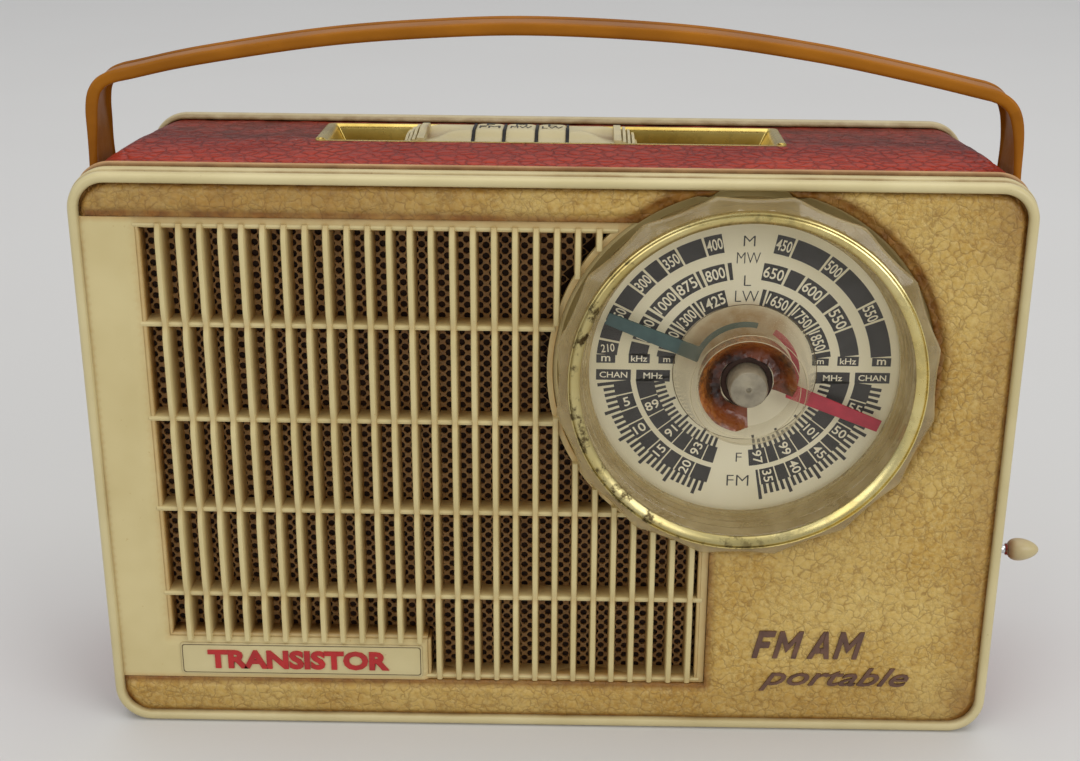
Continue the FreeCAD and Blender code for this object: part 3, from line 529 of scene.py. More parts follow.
def make_gilt():
    """Gilt paint over a leather grain, with a net of cracks that comes and goes."""
    s = Shade("gilt_leather_grain", 0.42, Coat_Weight=0.06, Coat_Roughness=0.3, Specular_IOR_Level=0.36)
    away = s.cells(3.3, s.wobble(2.6, 2.9))
    coarse = s.times(s.ramp(away, (0.0, 1.0), (0.035, 0.6), (0.1, 0.0)),
                     s.ramp(s.noise(3.4), (0.4, 0.12), (0.56, 1.0)))
    fine = s.times(s.ramp(s.cells(1.5, s.wobble(1.4, 1.1)), (0.0, 0.8), (0.09, 0.0)),
                   s.ramp(s.noise(8.0, 3), (0.44, 0.1), (0.58, 0.9)))
    body = s.patches(34, 4, 0.36, 0.66, tone(208, 177, 100), tone(186, 146, 64))
    # pale specks: worn gilt, and painted glints on the grain
    body = s.patches(1.5, 4, 0.4, 0.72, body, tone(216, 190, 124), 0.65)
    body = s.patches(2.6, 5, 0.5, 0.72, body, tone(160, 118, 46), 0.5)
    stain_and_shade = s.mix(s.noise(4, 3), tone(160, 104, 32), tone(74, 36, 12))
    body = s.mix(s.grime_and_shade_patches(6, (0.2, 0.6), (0.7, 1.05)), body, stain_and_shade)
    s.colour(s.mix(s.times(s.calc("MAXIMUM", coarse, fine), 0.52), body, tone(116, 80, 28)))
    s.rough(s.noise(3), 0.34, 0.5)
    puffed = s.ramp(away, (0.0, 0.0), (0.12, 0.6), (0.3, 1.0))
    return s.bump((s.noise(0.8, 3), 0.05), (s.noise(1.9), 0.3), (puffed, 0.2))


def make_leathercloth():
    s = Shade("red_leathercloth", 0.46, Specular_IOR_Level=0.2, IOR=1.3)
    away = s.cells(4.3, s.wobble(3.0, 2.4))
    crease = s.times(s.ramp(away, (0.0, 1.0), (0.08, 0.5), (0.17, 0.0)),
                     s.ramp(s.noise(9.0, 2), (0.36, 0.45), (0.56, 1.0)))
    body = s.patches(30, 4, 0.35, 0.7, tone(172, 60, 38), tone(150, 46, 30))
    body = s.mix(s.times(crease, 0.6), body, tone(84, 22, 12))
    # darker brown-red where the value is high: painted shade on the falling rear top, and darker next to the
    # frame and towards the bottom
    body = s.mix(s.grime_and_shade_patches(8, (0.3, 0.4), (0.65, 1.0)), body, tone(92, 38, 24))
    s.colour(s.patches(1.3, 1, 0.79, 0.83, body, tone(190, 160, 150), 0.9))
    s.rough(s.noise(4), 0.28, 0.5)
    dome = s.ramp(away, (0.0, 0.0), (0.12, 0.55), (0.34, 1.0))
    return s.bump((s.noise(0.6, 3), 0.03), (dome, 0.5), (s.noise(2.2, 3), 0.16), (s.noise(7, 2), 0.3))


def make_handle_plastic():
    s = Shade("handle_plastic", 0.3, Coat_Weight=0.03, Coat_Roughness=0.16, Specular_IOR_Level=0.2,
              IOR=1.25)
    streaks = s.noise(22, 5, place=s.vector("MULTIPLY", s.place, (0.35, 1.0, 1.0)))
    body = s.mix(s.ramp(streaks, (0.34, 0.0), (0.7, 1.0)), tone(168, 106, 28), tone(130, 78, 14))
    # darker brown: wear, and painted shade beneath the strap and in its grooves
    body = s.mix(s.grime_and_shade_patches(11, (0.3, 0.5), (0.66, 1.0)), body, tone(112, 64, 16))
    chips = s.ramp(s.noise(3.1, 3), (0.7, 0.0), (0.76, 0.8))
    s.colour(s.mix(s.times(chips, s.grime_and_shade()), body, tone(60, 34, 12)))
    s.rough(s.noise(6), 0.24, 0.44)
    return s.bump((s.noise(1.2), 0.03), (s.noise(8, 3), 0.16))


def make_gold(name, light, dark, dirt_and_shade, roughness):
    """Bright metal, tarnished where grime is high."""
    s = Shade(name, roughness, 1.0)
    body = s.patches(24, 4, 0.35, 0.7, tone(*light), tone(*dark))
    spots = s.ramp(s.noise(5.5, 6, 0.7), (0.47, 0.0), (0.6, 0.95))
    tarnish = s.calc("MAXIMUM", s.times(spots, s.grime_and_shade()), s.times(s.grime_and_shade(), 0.35))
    s.colour(s.mix(tarnish, body, tone(*dirt_and_shade)))
    s.rough(s.calc("ADD", s.times(tarnish, 0.6), s.times(s.noise(3), 0.3)), roughness, roughness + 0.42)
    return s.bump((s.noise(1.0, 3), 0.012), (s.noise(9, 2), 0.05))


def make_clear(name, share, tint, light, dark, roughness, metallic=0.0, **sockets):
    """Clear plastic: light goes straight through all but share of it, more is thrown back at the edges."""
    s = Shade(name, roughness, metallic, **sockets)
    s.colour(s.patches(12, 4, 0.35, 0.75, tone(*light), tone(*dark)))
    s.rough(s.noise(2.0, 5), roughness, roughness + 0.1)
    material = s.bump((s.noise(7.0, 2), 0.05))
    through = s.node("ShaderNodeBsdfTransparent", {"Color": tint})
    edge = s.node("ShaderNodeLayerWeight", {"Blend": 0.35})
    solid = s.node("ShaderNodeMapRange", {0: edge.outputs["Facing"], 3: share[0], 4: share[1]})
    both = s.node("ShaderNodeMixShader", {0: solid.outputs[0], 1: through.outputs[0],
                                          2: s.surface.outputs[0]})
    out = next(n for n in s.tree.nodes if n.type == "OUTPUT_MATERIAL")
    s.tree.links.new(both.outputs[0], out.inputs["Surface"])
    return material


def plain(name, light, dark, roughness=0.45, metallic=0.0, size=8.0, grain=0.02, **sockets):
    """A material with a gentle two-tone variation and a fine grain."""
    s = Shade(name, roughness, metallic, **sockets)
    s.colour(s.patches(size, 4, 0.32, 0.7, tone(*light), tone(*dark)))
    s.rough(s.noise(size / 2), max(0.05, roughness - 0.06), roughness + 0.1)
    return s.bump((s.noise(size / 10, 3), grain))


def make_boss():
    s = Shade("cloudy_boss", 0.3, Coat_Weight=0.5, Coat_Roughness=0.12)
    s.colour(s.patches(5, 4, 0.35, 0.7, tone(150, 140, 116), tone(108, 98, 78)))
    return s.bump((s.noise(1.4), 0.05))


def make_glue():
    """Dark amber, pale where the crust value is high: crust towards the wall, painted paler on the upper left
    as a highlight.
    """
    s = Shade("old_amber_glue", 0.2, Coat_Weight=0.25, Coat_Roughness=0.08)
    body = s.patches(8, 3, 0.4, 0.62, tone(118, 54, 14), tone(40, 16, 5))
    crust_and_highlight = s.ramp(s.noise(1.6, 5, 0.7), (0.42, 0.2), (0.6, 1.0))
    s.colour(s.mix(s.times(crust_and_highlight, s.grime_and_shade()), body, tone(176, 110, 46)))
    s.rough(s.noise(2), 0.12, 0.5)
    return s.bump((s.noise(1.4), 0.3))


CREAM = aged_plastic("cream_plastic", (208, 194, 146), (194, 179, 129), (126, 86, 34))
# its stain colour also paints shade deep among the slats and on the grille walls
MOULDING = aged_plastic("cream_moulding", (210, 194, 142), (196, 178, 124), (182, 138, 72), reach=1.0)
PIPING = aged_plastic("brown_piping", (192, 152, 100), (156, 112, 66), (84, 50, 22), 0.38)
BACK = aged_plastic("back_plastic", (206, 192, 150), (192, 176, 132), (120, 88, 40), 0.42)
# its brown is painted shadow on the scale plate, towards the hub and the rim
SCALE_SHADOWED = aged_plastic("scale_painted_shadow", (238, 231, 204), (228, 219, 186), (158, 112, 34), 0.5, 1.0)
GILT = make_gilt()
RED = make_leathercloth()
HANDLE = make_handle_plastic()
RING_GOLD = make_gold("ring_gold", (240, 226, 164), (220, 198, 122), (58, 38, 16), 0.18)
TRAY_GOLD = make_gold("tray_gold", (214, 190, 110), (176, 148, 70), (104, 80, 30), 0.2)
LENS = make_clear("clear_lens", (0.012, 0.2), (0.985, 0.98, 0.965, 1), (235, 230, 215), (210, 205, 190), 0.05,
                  1.0)
RIM_CLEAR = make_clear("clouded_rim", (0.4, 0.85), (0.9, 0.84, 0.64, 1), (200, 181, 134), (150, 127, 80),
                       0.1, Coat_Weight=0.8, Coat_Roughness=0.06)
HUB_CLEAR = make_clear("clear_hub", (0.02, 0.4), (0.96, 0.94, 0.9, 1), (216, 206, 176), (168, 152, 116),
                       0.06, Coat_Weight=1.0, Coat_Roughness=0.04)
BOSS = make_boss()
GLUE = make_glue()
SCREEN = plain("speaker_screen_brown", (196, 154, 96), (156, 114, 64), 0.5, size=10, grain=0.03)
DARK = plain("dark_inside", (62, 38, 24), (42, 25, 14), 0.8, size=12)
RED_PRINT = plain("red_letters", (188, 24, 26), (160, 18, 20), 0.32, size=6, Coat_Weight=0.3)
BROWN_PRINT = plain("brown_letters", (108, 74, 56), (78, 50, 38), 0.36, size=5, grain=0.03, Coat_Weight=0.3)
LINE = plain("old_line", (112, 96, 62), (82, 66, 40), 0.6, size=6)
# pale lines painted as highlights on the hub's edges
EDGE_HIGHLIGHT = plain("painted_edge_highlight", (198, 186, 150), (160, 146, 112), 0.3, size=6)
SCALE = plain("scale_cream", (246, 240, 218), (236, 228, 200), 0.5, size=16, grain=0.01)
SCALE_INK = plain("scale_ink", (58, 56, 58), (44, 42, 44), 0.5, size=9, grain=0.01)
TEAL = plain("teal_pointer", (62, 86, 80), (42, 64, 62), 0.35, size=7, grain=0.01, Coat_Weight=0.4)
CRIMSON = plain("crimson_pointer", (178, 44, 58), (142, 30, 44), 0.35, size=7, grain=0.01, Coat_Weight=0.4)
KEY_INK = plain("key_ink", (44, 36, 24), (28, 22, 16), 0.5, size=4)
BLACK = plain("black_plastic", (26, 22, 18), (14, 12, 10), 0.55, size=7, grain=0.03, Specular_IOR_Level=0.25)
CHROME = plain("chrome", (214, 214, 214), (196, 196, 198), 0.12, 1.0, size=12, grain=0.005)
STEEL = plain("plated_steel", (170, 170, 172), (142, 142, 146), 0.36, 1.0, size=9, grain=0.015)
ALU = plain("aluminium", (190, 190, 192), (168, 168, 170), 0.4, 1.0, size=9, grain=0.015)
BRASS = plain("brass", (190, 160, 92), (158, 126, 64), 0.34, 1.0)
PAPER = plain("cone_paper", (44, 40, 38), (30, 27, 26), 0.85, size=5, grain=0.08)
MAGNET = plain("magnet_ferrite", (70, 70, 72), (52, 52, 54), 0.6, grain=0.05)
BOARD = plain("board_laminate", (142, 100, 52), (116, 78, 38), 0.5, size=12, grain=0.03)
CAN = plain("tin_can", (196, 196, 196), (172, 172, 174), 0.3, 1.0, size=7)
SLEEVE = plain("capacitor_sleeve", (186, 140, 60), (160, 112, 42), 0.35, size=6)
DIPPED = plain("resistor_body", (150, 100, 66), (120, 76, 48), 0.5, size=3)
COPPER = plain("copper_wire", (176, 96, 52), (140, 70, 36), 0.35, 1.0, size=3, grain=0.05)
FERRITE = plain("ferrite", (50, 50, 52), (36, 36, 38), 0.7, size=6, grain=0.04)
CELL = plain("battery_label", (60, 78, 120), (44, 60, 98), 0.35, size=14)


# ---------------------------------------------------------------- front frame and panel
def make_frame():
    last = PIPING_D - 0.02
    profile = ((3.2, 3.0), (3.2, 1.7), (3.12, 0.95), (2.8, 0.35), (2.2, 0.06), (1.5, 0.0), (0.85, 0.22),
               (0.32, 0.8), (0.06, 1.6), (0.0, 2.4), (0.1, 3.0), (0.55, 3.25), (0.85, 3.5), (0.5, 3.75),
               (-0.3, 3.95), (-0.45, 4.4), (-0.45, 6.6), (-0.3, 7.2), (0.4, last), (2.2, last), (2.2, 3.0))
    dirty = {0: 1.0, 1: 0.75, 2: 0.3, 10: 0.4, 11: 1.6, 12: 1.7, 13: 1.7, 14: 0.8, 17: 0.4, 18: 1.0}
    rows, grime_and_shade = [], []
    for i, (inset, d) in enumerate(profile):
        ring = rounded(HALF - inset, max(0.0, inset), TOP - inset, 11.5 - inset)
        rows.append([at(x, d, z) for x, z in ring])
        base = dirty.get(i, 0.06)
        grime_and_shade.append([min(1.0, base * (0.6 + 0.8 * wave(x / 23, z / 23, i * 0.2)) + 0.10 * step(14, 0, z))
                      for x, z in ring])
    Shape().grid(rows, ring=True, loop=True, grime_and_shade=grime_and_shade).piece(
        "frame_rim", "case", [CREAM], ["front_frame"], "cream", subdivide=1)


def make_piping():
    """The brown bead behind the frame, left out under the case."""
    profile = ((-2.2, 0.0), (0.1, 0.0), (0.6, 0.12), (0.95, 0.4), (1.05, 0.85), (0.85, 1.3), (0.4, 1.55),
               (0.34, 1.7), (0.52, 1.9), (0.46, 2.2), (0.15, 2.5), (-0.6, 2.55))
    rows = []
    for out, back in profile:
        ring = rounded(wrap_hi.x + out, -out, wrap_hi.z + out * 0.85, WRAP_R + out)
        rows.append([at(x, PIPING_D + back, z) for x, z in ring if z > 11.0])
    dirt_and_shade = (1.0, 0.9, 0.5, 0.1, 0.05, 0.1, 0.6, 0.9, 0.5, 0.3, 0.4, 0.8)
    Shape().grid(rows, loop=True, caps=True, grime_and_shade=dirt_and_shade).piece(
        "piping", "case", [PIPING], ["piping_bead"], "piping", subdivide=1)


def make_back_rim():
    """The rolled edge of the back cover, with a brown line where it meets the covering."""
    half, top = SECTIONS[2][1], SECTIONS[2][2]
    profile = ((0.05, 74.9), (0.7, 74.5), (1.5, 75.0), (1.42, 75.5), (1.3, 75.8), (1.42, 76.1), (1.9, 76.9),
               (2.05, 77.8), (1.95, 79.0), (1.6, 79.8), (0.8, 80.2), (0.1, 80.2), (0.1, 79.0), (0.8, 78.8))
    dirt_and_shade = (1.0, 1.0, 0.95, 1.0, 1.0, 0.9, 0.3, *[0.4] * 7)
    rows = [[at(x, d, z) for x, z in rounded(half + out, 0.05, top + out, WRAP_R + out)]
            for out, d in profile]
    Shape().grid(rows, ring=True, loop=True, grime_and_shade=dirt_and_shade).piece(
        "back_rim", "cover", [BACK], (), "back_plastic", subdivide=1)


def make_panel():
    """The gilt C: top strip, right side and bottom strip, raised in the middle of its width."""
    pitch, r = 0.95, WELL_R - 0.4

    def area(x, z):
        return min(in_rounded(x, z, PANEL_INSET, PANEL_R), out_box(x, z, -HALF, MOULD_X, MOULD_Z0, MOULD_Z1),
                   off_dial(x, z) - r)

    # round the frame's opening from lower left to upper left, then back along the moulding and the dial
    left = -HALF + PANEL_INSET
    inner = rounded(HALF - PANEL_INSET, PANEL_INSET, TOP - PANEL_INSET, PANEL_R, 16, 280, 170)
    around = [p for p in inner if not (p[0] < left + 0.01 and MOULD_Z0 - 0.4 < p[1] < MOULD_Z1 + 0.4)]
    start = next(i for i, p in enumerate(around) if p[0] < 0 and p[1] < MOULD_Z0)
    around = around[start:] + around[:start]
    lower = [p for p in around if p[1] < MOULD_Z0 and p[0] < 0]
    upper = [p for p in around if p not in lower]
    low, high = bite(r, MOULD_X, MOULD_Z1)
    loop = [(left, MOULD_Z0), *sorted(lower, key=lambda p: (-p[1], p[0])), *upper, (left, MOULD_Z1)]
    loop += walk([(left, MOULD_Z1), high], pitch)[1:] + circle_walk(r, high, low, pitch)
    loop += walk([low, (MOULD_X, MOULD_Z0), (left, MOULD_Z0)], pitch)
    clean = []
    for p in loop:
        if not clean or math.dist(p, clean[-1]) > 0.05:
            clean.append(p)
    flat, faces = filled(clean, area, pitch)
    points, grime_and_shade = [], []
    for x, z in flat:
        e, ring = area(x, z), off_dial(x, z) - r
        raised = step(1.7, 3.1, e)
        skin = pebbles(Vector((x, 0, z)), 3.4) * 0.22 + 0.1 * wave(x / 1.7, 0, z / 1.7)
        gap = step(0.75, 0.2, in_rounded(x, z, PANEL_INSET, PANEL_R) - 0.9) * (0.4 + 0.9 * step(150, 172, z))
        points.append(at(x, 2.0 - 0.8 * raised - skin * raised * 0.7 + gap, z))
        value = 0.9 * step(2.9, 0.2, e) + 0.42 * step(120, 136, x)
        value += 0.5 * step(7, 0, ring) * (0.35 + 1.35 * step(-20, 50, z - DIAL_Z))
        value += 1.1 * step(4.2, 0.8, ring) * step(0, 30, z - DIAL_Z)
        value += 0.55 * step(158, 172, z) * step(40, -60, x) + 0.3 * step(26, 6, z)
        value += 0.25 * step(150, 176, z) * step(100, 136, x)
        grime_and_shade.append(min(1.0, value))
    Shape().add(points, faces, grime_and_shade).piece("gilt_panel", "case", [GILT], ["front_panel"], "gilt", wall=2.2)


# ---------------------------------------------------------------- grille
def slat_front(z, rows):
    """Depth of a slat's crest at height z, bulging between the bars."""
    for lo, hi in zip(rows[:-1], rows[1:]):
        if lo <= z <= hi:
            e = min(z - lo, hi - z)
            return 1.8 - 1.1 * math.sin(math.pi / 2 * min(1.0, max(0.0, e - 0.6) / 4.2)) ** 0.8
    return 1.8


def make_slats():
    x0, x1, z0, z1 = GRILLE
    rows = [z0, *BAR_Z, z1]
    r = WELL_R + 1.0
    shape = Shape()
    for i in range(1, SLATS):
        x = x0 + 0.6 + SLAT_PITCH * i
        foot = BADGE_TOP - 0.5 if x < BADGE_END else z0 - 0.5
        spans = [(foot, z1 + 0.5)]
        if abs(x - DIAL_X) < r:
            spans = [(foot, dial_cut(r, x=x))]
            over = dial_cut(r, x=x, side=1)
            if over < z1 - 1:
                spans.append((over, z1 + 0.5))
        lean = 0.12 * wave(i * 3.7, 0, 0)
        for lo, hi in spans:
            ribs, grime_and_shade = [], []
            for z in spread([lo, *[m for m in rows if lo < m < hi], hi], 1.9):
                front, wide = slat_front(z, rows), 0.88 + 0.05 * wave(i, z / 30, 1)
                half = ((1.25, SCREEN_D), (wide * 1.04, front + 3.0), (wide, front + 0.55),
                        (wide * 0.72, front + 0.12))
                section = [(-u, d) for u, d in half] + [(0, front), *half[::-1]]
                ribs.append([at(x + lean + u, d, z) for u, d in section])
                near = min(abs(z - m) for m in rows)
                # painted shade: the slats darker deeper back and next to the bars
                grime_and_shade.append([min(1.0, step(1.2, 7.5, d) * 0.95 + 0.3 * step(3, 0, near))
                              for _, d in section])
            shape.grid(ribs, ring=True, caps=True, grime_and_shade=grime_and_shade)
    for z, high in [(b, 1.0) for b in BAR_Z] + [(z0 + 0.25, 0.8), (z1 - 0.25, 0.8)]:
        start, end = x0 - 0.6, x1 + 0.6
        if z < BADGE_TOP:
            start = BADGE_END - 0.6
        if abs(z - DIAL_Z) < r:
            end = min(end, dial_cut(r, z=z))
        half = ((-high, SCREEN_D), (-high * 0.92, 3.5), (-high * 0.7, 2.85))
        section = [*half, (0, 2.6), *[(-v, d) for v, d in half[::-1]]]
        ribs = []
        for x in spread([start, end], 3.0):
            sag = 0.06 * wave(x / 25, z, 2)
            ribs.append([at(x, d, z + v + sag) for v, d in section])
        # painted shade: the bars darker deeper back
        shape.grid(ribs, grime_and_shade=[[step(2.2, 6.0, d) for _, d in section]] * len(ribs))
    shape.piece("grille_slats", "case", [MOULDING], ["grille_panel"], "cream")


def make_moulding():
    """The cream plate round the grille: side column, badge surround and thin borders."""
    x0, x1, z0, z1 = GRILLE
    left, right, low, high = plate_lo.x, plate_hi.x, plate_lo.z, plate_hi.z
    r_out, r_in, pitch = WELL_R + 0.1, WELL_R + 1.9, 1.6

    def window(x, z):
        return min(in_box(x, z, x0, x1, z0, z1), off_dial(x, z) - r_in,
                   out_box(x, z, x0 - 20, BADGE_END, 0, BADGE_TOP))

    def edge(x, z):
        return min(in_box(x, z, left, right, low, high), off_dial(x, z) - r_out)

    loop = notched(r_out, right, high, [(left, low), (right, low)], [(left, high), (left, low)], pitch)
    hole = notched(r_in, x1, z1, [(BADGE_END, z0), (x1, z0)],
                   [(x0, z1), (x0, BADGE_TOP), (BADGE_END, BADGE_TOP), (BADGE_END, z0)], pitch)
    flat, faces = filled(loop, lambda x, z: min(edge(x, z), -window(x, z)), pitch, [hole])
    points, grime_and_shade = [], []
    for x, z in flat:
        column = step(x0 - 0.9, x0 - 1.9, x)
        badge = step(BADGE_END - 0.2, BADGE_END - 1.2, x) * step(BADGE_TOP - 0.1, BADGE_TOP - 1.1, z)
        points.append(at(x, 3.0 - max(column, badge), z))
        grime_and_shade.append(min(1.0, 0.75 * step(1.6, 0.0, edge(x, z)) + 0.35 * step(1.2, 0.2, -window(x, z))))
    Shape().add(points, faces, grime_and_shade).piece(
        "grille_moulding", "case", [MOULDING], (), "cream", wall=2.6, bevel=0.3)
    under_dial, beside_dial = bite(r_in, x1, z1)
    walls = Shape()
    for path in ([(BADGE_END, BADGE_TOP), (x0, BADGE_TOP), (x0, z1), beside_dial],
                 [under_dial, (x1, z0), (BADGE_END, z0), (BADGE_END, BADGE_TOP)]):
        run = walk(path, 3.0) + [path[-1]]
        # painted shade: the walls darker deeper in
        walls.grid([[at(x, d, z) for x, z in run] for d in (2.9, 5.0, SCREEN_D)], grime_and_shade=(0.6, 0.95, 1.0))
    walls.piece("grille_walls", "case", [MOULDING], (), "cream", wall=1.0)


def make_screen():
    """A sheet of round holes in staggered columns, with a dark sheet against its back as painted shade behind
    the holes.
    """
    x0, x1, z0, z1 = screen_lo.x, screen_hi.x, screen_lo.z, screen_hi.z
    half_x, half_z, hole, sides = 1.9, 1.7, 1.12, 8
    front, back, reach = SCREEN_D, SCREEN_D + 0.8, WELL_R + 0.8
    outer, inner = [], []
    for k in range(sides):
        c, s = polar(1.0, 360 / sides * k)
        size = 1 / (abs(c) / half_x + abs(s) / half_z)
        outer.append((c * size, s * size))
        inner.append((c * hole, s * hole))
    shape = Shape()
    x, odd = x0 + half_x, 0
    while x < x1 - half_x * 0.9:
        z = z0 + half_z * (1 + odd)
        while z < z1 - half_z * 0.9:
            if off_dial(x, z) > reach + half_x:
                shape.grid([[at(x + u, d, z + v) for u, v in ring] for ring, d in
                            ((outer, front), (inner, front), (inner, back), (outer, back))], ring=True)
            z += 2 * half_z
        x += half_x
        odd = 1 - odd
    shape.piece("speaker_lattice", "case", [SCREEN], ["speaker_screen"], "screen", weld=True)
    # a dark sheet behind the lattice, painted shade seen through the holes
    edge = notched(reach, x1, z1, [(x0, z0), (x1, z0)], [(x0, z1), (x0, z0)], 4.0)
    flat, faces = filled(edge, lambda x, z: min(in_box(x, z, x0, x1, z0, z1), off_dial(x, z) - reach), 4.0)
    Shape().add([at(x, back - 0.02, z) for x, z in flat], faces).piece(
        "hole_shade_sheet", "case", [DARK], (), "screen", wall=0.1)


# ---------------------------------------------------------------- badge and panel letters
def make_badge():
    mid_x, half_z = (badge_lo.x + badge_hi.x) / 2, (badge_hi.z - badge_lo.z) / 2
    mid_z, half_x = (badge_lo.z + badge_hi.z) / 2, (badge_hi.x - badge_lo.x) / 2

    def ring(grow, d):
        return [at(mid_x + x, d, mid_z + z - half_z)
                for x, z in rounded(half_x + grow, -grow, 2 * half_z + grow, 0.9, 5, 30, 8)]

    plate = [ring(0, 3.0), ring(0, 1.75), ring(-0.12, 1.6), ring(-0.6, 1.56), ring(-3.0, 1.55)]
    Shape().grid(plate, ring=True, caps=True, grime_and_shade=(1, 0.7, 0.3, 0.08, 0)).piece(
        "badge_face", "case", [CREAM], ["badge_plate"], "cream")
    line = [ring(-inset, d) for inset, d in ((0.55, 1.565), (0.55, 1.535), (0.83, 1.535), (0.83, 1.565))]
    Shape().grid(line, ring=True, loop=True).piece("badge_line", "case", [LINE], (), "brown_print")
    word = ("TRANSISTOR", 6.7, 62.0, 0.045, 0.0, 0.5, on_face(mid_x - 1.0, 1.6, mid_z))
    write(Shape(), [word]).piece("badge_word", "case", [RED_PRINT], ["badge_letters"], "red_print")


# width and outlines of the capitals, one unit high
GLYPHS = {
    "F": (0.74, [[(0, 0), (0.24, 0), (0.24, 0.38), (0.62, 0.38), (0.62, 0.6), (0.24, 0.6), (0.24, 0.78),
                  (0.74, 0.78), (0.74, 1), (0, 1)]]),
    "M": (1.04, [[(0, 0), (0.22, 0), (0.22, 0.62), (0.52, 0.2), (0.82, 0.62), (0.82, 0), (1.04, 0),
                  (1.04, 1), (0.84, 1), (0.52, 0.54), (0.2, 1), (0, 1)]]),
    "A": (0.98, [[(0, 0), (0.23, 0), (0.31, 0.2), (0.49, 0.2), (0.49, 0.4), (0.39, 0.4), (0.49, 0.68),
                  (0.49, 1), (0.38, 1)],
                 [(0.98, 0), (0.6, 1), (0.49, 1), (0.49, 0.68), (0.59, 0.4), (0.49, 0.4), (0.49, 0.2),
                  (0.67, 0.2), (0.75, 0)]]),
    " ": (0.14, []),
}
GLYPH_GAP = 0.16


def block_word(word, height, width, lean, thick, place):
    """Broad leaning capitals, like plates cut from sheet."""
    shape = Shape()
    scale = width / (sum(GLYPHS[c][0] + GLYPH_GAP for c in word) - GLYPH_GAP + lean)
    start = -width / 2
    for c in word:
        wide, outlines = GLYPHS[c]
        for outline in outlines:
            flat = [(start + (u + lean * v) * scale, (v - 0.5) * height) for u, v in outline]
            shape.grid([[place(u, v, t) for u, v in flat] for t in (0.0, thick)], ring=True, caps=True)
        start += (wide + GLYPH_GAP) * scale
    return shape


def make_panel_letters():
    block_word("FM AM", 9.8, 35.5, 0.3, 1.1, on_face(82.0, 1.6, 31.2)).piece(
        "panel_word", "case", [BROWN_PRINT], ["panel_letters"], "brown_print", bevel=0.2)
    small = ("portable", 8.6, 52.0, 0.008, 0.42, 1.1, on_face(91.0, 1.6, 18.8))
    write(Shape(), [small]).piece("panel_small_word", "case", [BROWN_PRINT], (), "brown_print")


# ---------------------------------------------------------------- dial
INK_D = SCALE_D - 0.05
OUTER, MIDDLE, INNER = (38.3, 44.4), (29.2, 34.8), (20.9, 26.4)
# the upper half's cells, from and to an angle, with their numbers
UPPER = {
    OUTER: ((175, 168.5, "210"), (168, 160.5, ""), (160, 152.5, "250"), (152, 142.5, ""),
            (142, 134.5, "300"), (134, 127.5, ""), (127, 119.5, "350"), (119, 108.5, ""),
            (108, 100.5, "400"), (79.5, 72, "450"), (71.5, 57, ""), (56.5, 48.5, "500"), (48, 31, ""),
            (30.5, 22.5, "550"), (22, 5.5, "")),
    MIDDLE: ((174, 166, ""), (165, 151, "1200"), (150, 147, ""), (146, 131.5, "1000"),
             (130.5, 117.5, "875"), (116.7, 114.5, ""), (113.5, 101.5, "800"), (100.5, 98, ""),
             (82.5, 70, "650"), (69, 60.5, ""), (59.5, 46.5, "600"), (45.8, 38.5, ""),
             (37.5, 24.5, "550"), (23.8, 7.5, "")),
    INNER: ((173, 168, ""), (167, 150.5, "1200"), (149.5, 147, ""), (146, 129.5, "1300"),
            (128.5, 126, ""), (125, 104.5, "1425"), (80, 77, ""), (76, 58, "1650"), (57, 54.5, ""),
            (53.5, 36, "1750"), (35, 32.5, ""), (31.5, 14, "1850"), (13, 8.5, "")),
}
CHANNELS = {"5": 198.4, "10": 213.5, "15": 228.5, "20": 243.5, "35": 284.5, "40": 298.3, "45": 312,
            "50": 325.7, "55": 339.5}
MEGACYCLES = {"89": 205, "91": 225, "93": 244, "97": 281, "99": 298, "101": 316.5}
# the boxes either side of the level line: near and far end, foot, head and name
UNIT_BOXES = ((38.6, 44.3, 0.9, 3.6, "m"), (28.2, 34.6, 0.9, 3.9, "kHz"), (20.6, 25.6, 0.9, 3.2, "m"),
              (33.8, 44.3, -4.6, -1.2, "CHAN"), (22.0, 32.2, -4.9, -1.2, "MHz"))
MARKS = (("M", 3.2, 39.6), ("MW", 3.4, 34.4), ("L", 3.2, 27.4), ("LW", 3.5, 22.5), ("F", 3.0, -29.6),
         ("FM", 3.6, -37.4))
CELL_GAP = 0.7


def printed(r, degrees, d):
    """A place on the printed scale, whose upper half is a little flatter than a circle."""
    p = on_dial(r, degrees, d)
    if p.z > DIAL_Z:
        p.z = DIAL_Z + (p.z - DIAL_Z) * 0.955
    return p


def sector(shape, r0, r1, a0, a1):
    n = max(1, round(abs(a1 - a0) / 2.5))
    rows = [[printed(r, a0 + (a1 - a0) * k / n, d) for k in range(n + 1)]
            for r, d in ((r0, SCALE_D), (r0, INK_D), (r1, INK_D), (r1, SCALE_D))]
    shape.grid(rows, loop=True, caps=True)


def bands(numbers, low, high, half_number):
    """Cells of a lower band: a cell for each number and plain cells between them."""
    cells = []
    edge = low
    for text, a in sorted(numbers, key=lambda n: n[1]):
        if a - half_number - edge > 1.5:
            cells.append((edge, a - half_number - CELL_GAP, ""))
        cells.append((a - half_number, a + half_number, text))
        edge = a + half_number + CELL_GAP
    if high - edge > 1.5:
        cells.append((edge, high, ""))
    return cells


